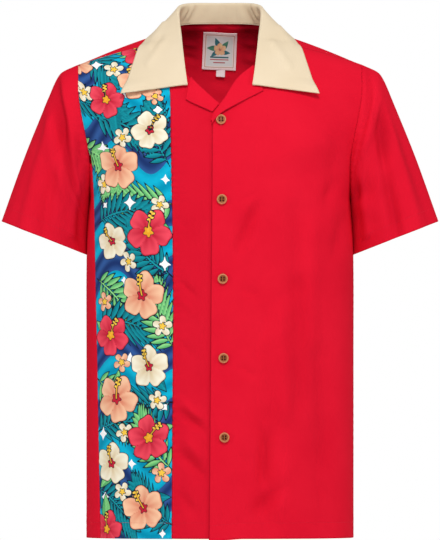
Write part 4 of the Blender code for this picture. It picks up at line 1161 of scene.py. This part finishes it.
# %% Lapels
LEFT_LAPEL = (  # along, roll x, edge x, edge z
    (0, -12.2, -12.4, -118.5), (1, -5.5, -4.6, -109), (2, 1, 5, -100.5), (3, 14, 22, -91),
    (4, 30, 43, -79.5), (5, 50, 64.5, -68.5),
)
RIGHT_LAPEL = (
    (0, 2, 11.5, -100), (1, 14, 21.5, -95.5), (2, 25.5, 32, -91), (3, 36.5, 42, -86.5),
    (4, 44, 50.5, -82),
)
LAPEL_ROLL = ((0, -1.9, -1.0), (1, -2.3, 0.4), (2, -1.6, 1.7), (3, 0.8, 2.3))  # step, out, height
LAPEL_WALL, LAPEL_TIP_REST = 0.8, 1.8


def place_on_form(back, x, z):
    """The shares and levels at which one side of the plain form has these x and z."""
    low, high = np.zeros_like(x), np.full_like(x, 2.0)
    for _ in range(26):
        level = (low + high) / 2.0
        below = form_point(back, share_at(back, x, level), level)[..., 2] < z
        low, high = np.where(below, level, low), np.where(below, high, level)
    return share_at(back, x, level), level


def surface_at(back, x, z, height):
    """Points over the plain form at x and z, and the normals there."""
    q, level = place_on_form(back, x, z)
    step = 0.004
    across = form_point(back, q + step, level) - form_point(back, q - step, level)
    up = form_point(back, q, np.minimum(level + step, 2.0)) - form_point(back, q, level - step)
    normal = unit(np.cross(across, up)) * (-1.0 if back else 1.0)
    return form_point(back, q, level) + normal * np.asarray(height)[..., None], normal


def make_lapel(name, side, roll_line, rows, lift, low_rest):
    """A turned-back lapel, which lies closer to the front at its tip than at its lower end."""
    along = np.linspace(0.0, len(rows) - 1.0, 49)
    row = read(rows, along)
    rest = lerp(LAPEL_TIP_REST, low_rest, ease(0.5 + along / 2.0) * ease((4.2 - along) / 2.0))
    roll_x, edge = row[1], np.stack(row[2:4], -1)
    roll = np.stack([roll_x, read(roll_line, roll_x)[1]], -1)
    line = unit(np.stack([np.full_like(roll_x, 2.0),
                          read(roll_line, roll_x + 1.0)[1] - read(roll_line, roll_x - 1.0)[1]], -1))
    outward = np.stack([line[:, 1], -line[:, 0]], -1)
    spots, heights = [], []
    for step in np.linspace(0.0, 3.0, 10):
        _, out, height = read(LAPEL_ROLL, step)
        spots.append(roll + outward * out)
        heights.append(np.full_like(roll_x, height))
    for t in np.linspace(0.0, 1.0, 17)[1:]:
        spots.append(lerp(roll + outward * LAPEL_ROLL[-1][1], edge, t))
        heights.append(lerp(LAPEL_ROLL[-1][2], rest, t))
    spots = np.array(spots)
    points, _ = surface_at(False, spots[..., 0], spots[..., 1], np.array(heights) + lift(spots[..., 0]))
    points[..., 0] *= side
    pattern = flat_pattern(points)
    border = pattern[-1:, :, 1] - pattern[..., 1]
    red_seams.append(level_line(points, unit_normals(points, (0.0, -1.0, 0.0)), -border, -EDGE_STITCH))
    # the lapel's edge is rounded and given painted shade through its seam mark
    piece = lay_cloth(name + "_cloth", points, (0.0, -1.0, 0.0), pattern, red_cotton, LAPEL_WALL,
                      {"stitch": np.clip(border - EDGE_STITCH, -GROOVE_REACH, GROOVE_REACH),
                       "seam": np.minimum(border, GROOVE_REACH)})
    put_on(name, points)


make_lapel("lapel_left", 1.0, LEFT_ROLL, LEFT_LAPEL, overlap_lift, 4.4)
make_lapel("lapel_right", -1.0, RIGHT_ROLL, RIGHT_LAPEL, lambda x: 0.0 * x, 3.0)

# %% [markdown]
# ## The label and the tag
# A neck label is damask woven on a narrow loom, cut and sewn to the inside of the back. This one has
# no words: a pale border, one plain tan line, and a flower with leaves over three bars. The tag below
# it is a folded scrap of the same cloth, laid here as one layer that curls at its foot. A picture would
# blur here, so the border's colours go by the distance to the label's edge, and the flower is woven
# from the same fields as the print.

# %% Damask label cloth
def ramp(tree, value, stops):
    """Colours that change at the given distances in mm, each for a short way."""
    scaled = add(tree, "Math", {0: value, 1: 1.0 / GROOVE_REACH}, operation="MULTIPLY")
    colour = add(tree, "ValToRGB", {"Fac": scaled})
    elements = colour.node.color_ramp.elements
    for number, (distance, hex_colour) in enumerate(stops):
        at = distance / GROOVE_REACH
        stop = elements.new(at) if number else elements[0]
        stop.position, stop.color = at, ink(hex_colour)
    elements.remove(elements[-1])
    return colour


def damask(name, stops, wefts=None):
    """Satin-faced polyester, so it is smoother and shinier than the cotton round it."""
    material, tree, shader, *_ = woven(name, 0.55, 0.1, "#FFFFFF", 0.4)
    shader.inputs["Specular IOR Level"].default_value = 0.35
    border = add(tree, "Attribute", out="Fac", attribute_name="seam")
    colour = ramp(tree, border, stops)
    if wefts:
        inside = add(tree, "Math", {0: border, 1: LABEL_FRAME}, operation="GREATER_THAN")
        motif, _ = lay_inks(tree, (stops[-1][1], stops[-1][1]), wefts)
        colour = add(tree, "Mix", {"Factor": inside, "A": colour, "B": motif}, data_type="RGBA")
    tree.links.new(colour, shader.inputs["Base Color"])
    return material


LABEL_FRAME = 6.0
LABEL_WEFTS = {
    "teal": ("#1C5C66", "#2E8088"),
    "green": ("#2C6A5C", "#4C9A78"),
    "peach": ("#E8A878", "#F4CDA0"),
    "red": ("#A83238", "#D4606A"),
    "yellow": ("#F0C060", "#FADA90"),
}
label_damask = damask("bordered_damask", (
    (0.0, "#FFE9EB"), (3.4, "#FFE9EB"), (3.6, "#B4966A"), (4.3, "#B4966A"), (4.5, "#FBEBE8"),
    (5.6, "#F6EAE6"), (5.9, "#E2E8E6")), LABEL_WEFTS)
tag_damask = damask("plain_damask", ((0.0, "#FFEEF0"), (3.0, "#FFF4F4")))
print("label cloths:", label_damask.name, tag_damask.name)

# %% A flower for the label
LABEL_WIDTH, LABEL_HEIGHT = 51.0, 56.0
LABEL_LEAVES = (  # place, size, turn and weft
    ((25, 30), 19, 100, "teal"), ((27, 30), 18, 40, "green"), ((24, 31), 18, 165, "green"),
    ((27, 28), 15, -20, "teal"), ((24, 28), 14, 205, "teal"),
)
LABEL_BARS = (  # height of the middle, half height, half width and weft
    (19, 1.1, 14, "teal"), (15.5, 0.7, 14, "red"), (11, 0.8, 9, "red"),
)


def draw_label(u, v):
    """One flower on leaves over three plain bars, woven in, as fields of the distance to each colour."""
    design = blank_design(0.5 + 0.5 * np.sin(v / 3.0))
    for place, size, turn, name in LABEL_LEAVES:
        print_leaf(design, u, v, place, size, turn, name)
    print_hibiscus(design, u, v, (26, 31), 9.5, 20, "peach")
    for middle, half, reach, name in LABEL_BARS:
        bar = np.maximum(np.abs(v - middle) - half, np.abs(u - LABEL_WIDTH / 2.0) - reach)
        print_shape(design, name, bar, 0.3)
    return cut_off(design)


# %% Lay the label and the tag
LABEL_TOP_Z, LABEL_SEAM = 22.5, 1.6
LABEL_TURN, LABEL_DEPTH, LABEL_WALL = math.radians(-2.4), 2.8, 0.5


def make_label(name, middle_x, top_z, width, height, columns, rows, finish, curl, draw=None):
    """A small flat weave inside the back; returns the lines on which it is sewn down."""
    right, down = np.meshgrid(np.linspace(-width / 2.0, width / 2.0, columns + 1),
                              np.linspace(height, 0.0, rows + 1))
    x = middle_x + right * math.cos(LABEL_TURN) + down * math.sin(LABEL_TURN)
    z = top_z + right * math.sin(LABEL_TURN) - down * math.cos(LABEL_TURN)
    wave = 0.3 * np.sin(right / 7.0 + down / 19.0) + curl * (down / height) ** 3
    points, _ = surface_at(True, x, z, -LABEL_DEPTH - wave)
    pattern = np.stack([right + width / 2.0, height - down], -1)
    border = np.min([pattern[..., 0], width - pattern[..., 0], down, height - down], axis=0)
    marks = {"stitch": border - LABEL_SEAM, "seam": np.minimum(border, GROOVE_REACH)}
    if draw:
        marks.update(draw(pattern[..., 0], pattern[..., 1]))
    piece = lay_cloth(name + "_cloth", points, (0.0, -1.0, 0.0), pattern, finish, LABEL_WALL, marks)
    put_on(name, points)
    inset = lerp(points, points.mean((0, 1)), 2.0 * LABEL_SEAM / width)
    normal = unit_normals(points, (0.0, -1.0, 0.0))
    return [(inset[k], normal[k]) for k in (0, -1)] + [(inset[:, k], normal[:, k]) for k in (0, -1)]


label_seams = make_label("neck_label", 0.5, LABEL_TOP_Z, LABEL_WIDTH, LABEL_HEIGHT, 100, 112,
                         label_damask, 0.4, draw_label)
make_label("size_tag", 1.0, LABEL_TOP_Z - LABEL_HEIGHT - 0.3, 13.5, 10.0, 14, 10, tag_damask, 1.0)

# %% [markdown]
# ## Buttons
# They are sawn from coconut shell and turned: a flat face sunk inside a raised rim, four drilled
# holes and a bevelled underside. The profile is spun round, and the two faces are filled round the
# holes. Shell is brown with pale fibres, and paler where the lathe has thinned it at the rim.

# %% Turned coconut shell
RIM_START, RIM_END = 4.6, 6.2
LATHE_RINGS, LATHE_HEIGHT, FIBRE_HEIGHT = 14.0, 0.01, 0.12


def turned_shell(name):
    """Coconut shell: satin and brown with long pale fibres, paler at the rim, with faint lathe rings."""
    material, tree, shader = surface(name, 0.38, 1.52, 0.15)
    flat = add(tree, "UVMap", uv_map="pattern")
    long_way = add(tree, "Mapping", {"Vector": flat, "Scale": (0.35, 3.2, 1.0), "Rotation": (0.0, 0.0, 0.5)})
    fibre = add(tree, "TexNoise", {"Vector": long_way, "Scale": 1.0, "Detail": 5.0, "Roughness": 0.7})
    off = add(tree, "VectorMath", {0: flat}, operation="LENGTH")
    rim = add(tree, "MapRange", {"Value": off, "From Min": RIM_START, "From Max": RIM_END},
              interpolation_type="SMOOTHSTEP")
    face, edge = (add(tree, "Mix", {"Factor": fibre, "A": ink(dark), "B": ink(pale)}, data_type="RGBA")
                  for dark, pale in (("#5A2A12", "#B0683A"), ("#8A4422", "#EEA474")))
    colour = add(tree, "Mix", {"Factor": rim, "A": face, "B": edge}, data_type="RGBA")
    tree.links.new(colour, shader.inputs["Base Color"])
    rings = add(tree, "Math", {0: off, 1: LATHE_RINGS}, operation="MULTIPLY")
    rings = add(tree, "Math", {0: rings}, operation="SINE")
    rings = add(tree, "Math", {0: rings, 1: LATHE_HEIGHT}, operation="MULTIPLY")
    height = add(tree, "Math", {0: fibre, 1: FIBRE_HEIGHT, 2: rings}, operation="MULTIPLY_ADD")
    bump = add(tree, "Bump", {"Height": height, "Strength": 1.0, "Distance": MM})
    tree.links.new(bump, shader.inputs["Normal"])
    return material


coconut = turned_shell("turned_coconut_shell")
print("shell:", coconut.name)

# %% Turn, drill and place the buttons
BUTTON_FACE, HOLE_RADIUS, HOLE_SPREAD = 4.4, 1.3, 1.95
BUTTON_PROFILE = (  # radius and height, from the face over the rim to the underside
    (BUTTON_FACE, 1.7), (4.9, 1.85), (5.2, 2.2), (5.6, 2.48), (6.1, 2.56), (6.7, 2.42), (7.2, 2),
    (7.5, 1.5), (7.5, 0.9), (7.2, 0.4), (6.7, 0), (BUTTON_FACE, 0),
)
BUTTON_STEPS, HOLE_STEPS = 56, 14
BUTTON_COUNT, BUTTON_TOP_Z, BUTTON_PITCH, BUTTON_SEAT = 5, -111.5, 117.6, 1.6
BUTTON_TOP_X, BUTTON_LOW_X = 1.5, 6.5


def button_blank():
    """A turned and drilled button in mm, its underside on the ground."""
    button = bmesh.new()
    ring = [button.verts.new((radius, 0.0, height)) for radius, height in BUTTON_PROFILE]
    line = [button.edges.new(pair) for pair in zip(ring, ring[1:])]
    bmesh.ops.spin(button, geom=ring + line, axis=(0.0, 0.0, 1.0), cent=(0.0, 0.0, 0.0),
                   angle=2.0 * math.pi, steps=BUTTON_STEPS, use_merge=True)
    bmesh.ops.remove_doubles(button, verts=button.verts, dist=0.001)
    thickness = BUTTON_PROFILE[0][1]
    for x, y in ((1, 1), (-1, 1), (-1, -1), (1, -1)):
        place = Matrix.Translation((x * HOLE_SPREAD, y * HOLE_SPREAD, thickness / 2.0))
        bmesh.ops.create_cone(button, segments=HOLE_STEPS, radius1=HOLE_RADIUS, radius2=HOLE_RADIUS,
                              depth=thickness, cap_ends=False, matrix=place)
    for level in (thickness, 0.0):
        rims = [edge for edge in button.edges if edge.is_boundary
                and all(abs(vert.co.z - level) < 0.01 for vert in edge.verts)]
        bmesh.ops.triangle_fill(button, use_beauty=True, edges=rims, normal=(0.0, 0.0, 1.0))
    bmesh.ops.recalc_face_normals(button, faces=button.faces)
    pattern = button.loops.layers.uv.new("pattern")
    for face in button.faces:
        for corner in face.loops:
            corner[pattern].uv = corner.vert.co.xy
    return button


def place_buttons():
    """The buttons down the front edge, each on its own slant; returns their places."""
    number = np.arange(BUTTON_COUNT)
    x = lerp(BUTTON_TOP_X, BUTTON_LOW_X, number / (BUTTON_COUNT - 1))
    z = BUTTON_TOP_Z - BUTTON_PITCH * number
    seat = overlap_lift(x) + fold_height(FRONT_FOLDS, x, z) + BUTTON_SEAT
    centres, normals = surface_at(False, x, z, seat)
    blank = button_blank()
    places = []
    for k, (centre, normal) in enumerate(zip(centres, normals)):
        turn = Vector(normal).to_track_quat("Z", "Y").to_matrix().to_4x4()
        place = Matrix.Scale(MM, 4) @ Matrix.Translation(centre) @ turn
        mesh = bpy.data.meshes.new(f"button_{k + 1}")
        blank.to_mesh(mesh)
        mesh.transform(place)
        piece = add_piece(f"turned_button_{k + 1}", mesh, coconut)
        mesh.set_sharp_from_angle(angle=math.radians(35.0))
        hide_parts(f"button_{k + 1}")
        places.append(place)
    blank.free()
    return places


button_places = place_buttons()
print("buttons at:", [[round(v / MM) for v in place.translation] for place in button_places])

# %% [markdown]
# ## Sewing
# Every seam that shows is lockstitched about ten stitches to the inch. Each stitch is a slim bead
# that sinks at its ends, laid on the line where the cloth's groove is. A buttonhole is two rows of
# close stitches across a slit, longer than the button is wide, so its two ends look out from under it.
# Thread also crosses each button and fills its holes; the near-black plugs in the holes are also painted
# shade, where the cloth behind would look red.

# %% Thread
TWISTS_A_METRE = 900.0


def thread(name, deep, pale):
    """Mercerised cotton thread: smooth, a little shiny, its colour uneven along the twist."""
    material, tree, shader = surface(name, 0.6, 1.5, 0.25)
    place = add(tree, "TexCoord", out="Object")
    twist = add(tree, "TexNoise", {"Vector": place, "Scale": TWISTS_A_METRE, "Detail": 2.0})
    tint = add(tree, "Mix", {"Factor": twist, "A": ink(deep), "B": ink(pale)}, data_type="RGBA")
    tree.links.new(tint, shader.inputs["Base Color"])
    bump = add(tree, "Bump", {"Height": twist, "Strength": 0.5, "Distance": 0.1 * MM})
    tree.links.new(bump, shader.inputs["Normal"])
    return material


red_thread = thread("red_mercerised_thread", "#C80E2A", "#EC2C46")
cream_thread = thread("cream_mercerised_thread", "#E0C8A8", "#FBEDDC")
# near-black, so that the thread plugs in the buttons' holes also stand in for the shade inside them
brown_thread = thread("brown_mercerised_thread", "#1E0A04", "#341608")
print("threads:", red_thread.name, cream_thread.name, brown_thread.name)

# %% Stitch the seams
STITCH_PITCH, STITCH_LENGTH, THREAD_RADIUS = 2.6, 2.0, 0.2
NECK_STITCH_LENGTH, NECK_THREAD_RADIUS = 2.55, 0.5


def stitches_along(line, normals):
    """Middles, runs and normals of a row of stitches spaced evenly along a line of points in mm."""
    kept = np.concatenate([[True], np.linalg.norm(np.diff(line, axis=0), axis=-1) > 0.05])
    line, normals = line[kept], normals[kept]
    reach = np.concatenate([[0.0], np.cumsum(np.linalg.norm(np.diff(line, axis=0), axis=-1))])
    marks = np.arange(STITCH_PITCH, reach[-1] - STITCH_PITCH / 2.0, STITCH_PITCH)

    def at(values, shift):
        return np.stack([np.interp(marks + shift, reach, values[:, k]) for k in range(3)], -1)

    return at(line, 0.0), at(line, STITCH_LENGTH / 2.0) - at(line, -STITCH_LENGTH / 2.0), at(normals, 0.0)


def sew(name, stitches, finish, slot, length=STITCH_LENGTH, radius=THREAD_RADIUS):
    """One piece with a bead of thread, flattened against the cloth, for every stitch."""
    bead = bmesh.new()
    bmesh.ops.create_uvsphere(bead, u_segments=6, v_segments=4, radius=1.0)
    mesh = bpy.data.meshes.new(name)
    bead.to_mesh(mesh)
    corners = np.array([vert.co for vert in bead.verts])
    bead.free()
    middles, runs, normals = (np.concatenate(values) for values in zip(*stitches))
    joined = bmesh.new()
    for _ in range(len(middles)):
        joined.from_mesh(mesh)
    joined.to_mesh(mesh)
    joined.free()
    run = unit(runs)
    aside = unit(np.cross(normals, run))
    out = np.cross(run, aside)
    axes = np.stack([aside * radius, out * radius * 0.8, run * length / 2.0], 1)
    mesh.vertices.foreach_set("co", ((middles[:, None] + corners @ axes) * MM).astype(np.float32).ravel())
    add_piece(name, mesh, finish)
    print(name, len(middles), "stitches")


for name, seams, finish, slot, *size in (
        ("red_lockstitch", red_seams, red_thread, "red_cotton"),
        ("cream_lockstitch", cream_seams, cream_thread, "cream_cotton"),
        ("neck_lockstitch", neck_seams, cream_thread, "cream_cotton", NECK_STITCH_LENGTH, NECK_THREAD_RADIUS),
        ("label_lockstitch", label_seams, cream_thread, "label_weave")):
    sew(name, [stitches_along(*seam) for seam in seams], finish, slot, *size)

# %% Buttonholes, shanks and the thread in the buttons' holes
BUTTONHOLE_LENGTH, BUTTONHOLE_PITCH, BUTTONHOLE_ROW, BUTTONHOLE_STITCH = 17.5, 0.55, 1.0, 1.6
BAR_HALF_WIDTH, BAR_OFFSET = 1.5, 0.3
SHANK_HEIGHT, SHANK_STRAND, SHANK_RADIUS, SHANK_EXTRA = 1.75, 0.22, 0.26, 0.9
HOLE_THREAD_HEIGHT = 0.8
SIDES = (-1.0, 1.0)


def at_buttons(spots, run):
    """Stitches at spots in mm from each button's middle, all along one direction of the button."""
    rows = []
    for place in button_places:
        turn = np.array(place.to_3x3()) / MM
        middles = np.array(spots, float) @ turn.T + np.array(place.translation) / MM
        rows.append((middles, np.tile(turn @ run, (len(spots), 1)), np.tile(turn[:, 2], (len(spots), 1))))
    return rows


half_length = BUTTONHOLE_LENGTH / 2.0
up_slit = np.arange(-half_length, half_length, BUTTONHOLE_PITCH)
over_end = np.arange(-BAR_HALF_WIDTH, BAR_HALF_WIDTH + 0.1, BUTTONHOLE_PITCH)
slit_spots = [(side * BUTTONHOLE_ROW, y, -BUTTON_SEAT) for y in up_slit for side in SIDES]
bar_spots = [(x, end * (half_length + BAR_OFFSET), -BUTTON_SEAT) for x in over_end for end in SIDES]
shank_spots = [(side * HOLE_SPREAD + strand * SHANK_STRAND, 0.0, SHANK_HEIGHT)
               for side in SIDES for strand in SIDES]
hole_spots = [(x * HOLE_SPREAD, y * HOLE_SPREAD, HOLE_THREAD_HEIGHT) for x in SIDES for y in SIDES]
sew("buttonhole_stitches", at_buttons(slit_spots, (1, 0, 0)) + at_buttons(bar_spots, (0, 1, 0)), red_thread,
    "red_cotton", BUTTONHOLE_STITCH)
sew("button_shanks", at_buttons(shank_spots, (0, 1, 0)), brown_thread, "coconut_shell",
    2.0 * HOLE_SPREAD + SHANK_EXTRA, SHANK_RADIUS)
# the plugs fill each hole wholly: thread, and painted shade for the dark inside the hole
sew("button_hole_thread_and_shade", at_buttons(hole_spots, (0, 1, 0)), brown_thread, "coconut_shell",
    2.0 * HOLE_RADIUS, HOLE_RADIUS)

# %% [markdown]
# ## Floor, light and camera
# A shop photographs a shirt from a few metres off with a long lens, on white, in soft light from the
# front. Its inner back is lit apart, here by one small lamp inside the chest. A sky picture would
# light it too, but lamps of a known size and place are easier to judge.

# %% Floor
FLOOR_RADIUS, FLOOR_Z = 1.4, -0.80
floor_finish, _, paper = surface("pale_paper", 0.9, 1.5, 0.5)  # matt, so it shows only soft shadows
paper.inputs["Base Color"].default_value = ink("#F4F4F2")
floor_mesh = bmesh.new()
bmesh.ops.create_circle(floor_mesh, cap_ends=True, segments=128, radius=FLOOR_RADIUS)
bmesh.ops.translate(floor_mesh, verts=floor_mesh.verts, vec=(0.0, 0.0, FLOOR_Z))
floor_data = bpy.data.meshes.new("floor")
floor_mesh.to_mesh(floor_data)
floor_mesh.free()
floor_data.materials.append(floor_finish)
floor = bpy.data.objects.new("floor", floor_data)
bpy.context.scene.collection.objects.link(floor)
print("floor at", FLOOR_Z)

# %% Light
BACKDROP_SHINE, ROOM_SHINE = 1.0, 0.38  # the white that the camera sees, and what it lights
scene = bpy.context.scene
scene.view_settings.view_transform = "Standard"
world = bpy.data.worlds.new("studio")
world.use_nodes = True
seen = add(world.node_tree, "LightPath", out="Is Camera Ray")
shine = add(world.node_tree, "MapRange", {"Value": seen, "To Min": ROOM_SHINE, "To Max": BACKDROP_SHINE})
backdrop = world.node_tree.nodes["Background"]
backdrop.inputs["Color"].default_value = (1.0, 1.0, 1.0, 1.0)
world.node_tree.links.new(shine, backdrop.inputs["Strength"])
scene.world = world
middle = (solids_low + solids_high) / 2.0
for name, place, target, width, height, power in (
        ("key_softbox", (0.12, -2.2, 1.6), (0.0, 0.0, -0.15), 0.7, 0.7, 47.0),
        ("right_softbox", (2.5, -1.4, 0.1), middle, 0.7, 1.4, 15.0),
        ("left_softbox", (-2.5, -1.4, 0.0), middle, 0.7, 1.4, 14.0),
        ("inside_lamp", (0.0, -0.01, -0.17), (0.0, 0.118, -0.085), 0.14, 0.04, 0.055)):
    lamp = bpy.data.lights.new(name, "AREA")
    lamp.shape = "RECTANGLE"
    lamp.size, lamp.size_y, lamp.energy = width, height, power
    light = bpy.data.objects.new(name, lamp)
    light.location = place
    light.rotation_euler = (Vector(target) - Vector(place)).to_track_quat("-Z", "Y").to_euler()
    scene.collection.objects.link(light)
    print(name, power, "W")

# %% Camera
MM_PER_PIXEL = 1.49
FRAME_HEIGHT, SHOULDER_ROW = 540, 46  # pixels in the picture, and down to the shoulders
CAMERA_DISTANCE = 24.0
lens = bpy.data.cameras.new("camera")
lens.sensor_width = 36.0
lens.lens = lens.sensor_width * CAMERA_DISTANCE / (FRAME_HEIGHT * MM_PER_PIXEL * MM)
lens.clip_end = 100.0
camera = bpy.data.objects.new("camera", lens)
camera.location = (0.0, -CAMERA_DISTANCE, (SHOULDER_ROW - FRAME_HEIGHT / 2.0) * MM_PER_PIXEL * MM)
camera.rotation_euler = (math.radians(90.0), 0.0, 0.0)
scene.collection.objects.link(camera)
scene.camera = camera
print("camera", CAMERA_DISTANCE, "m off, lens", round(lens.lens), "mm")
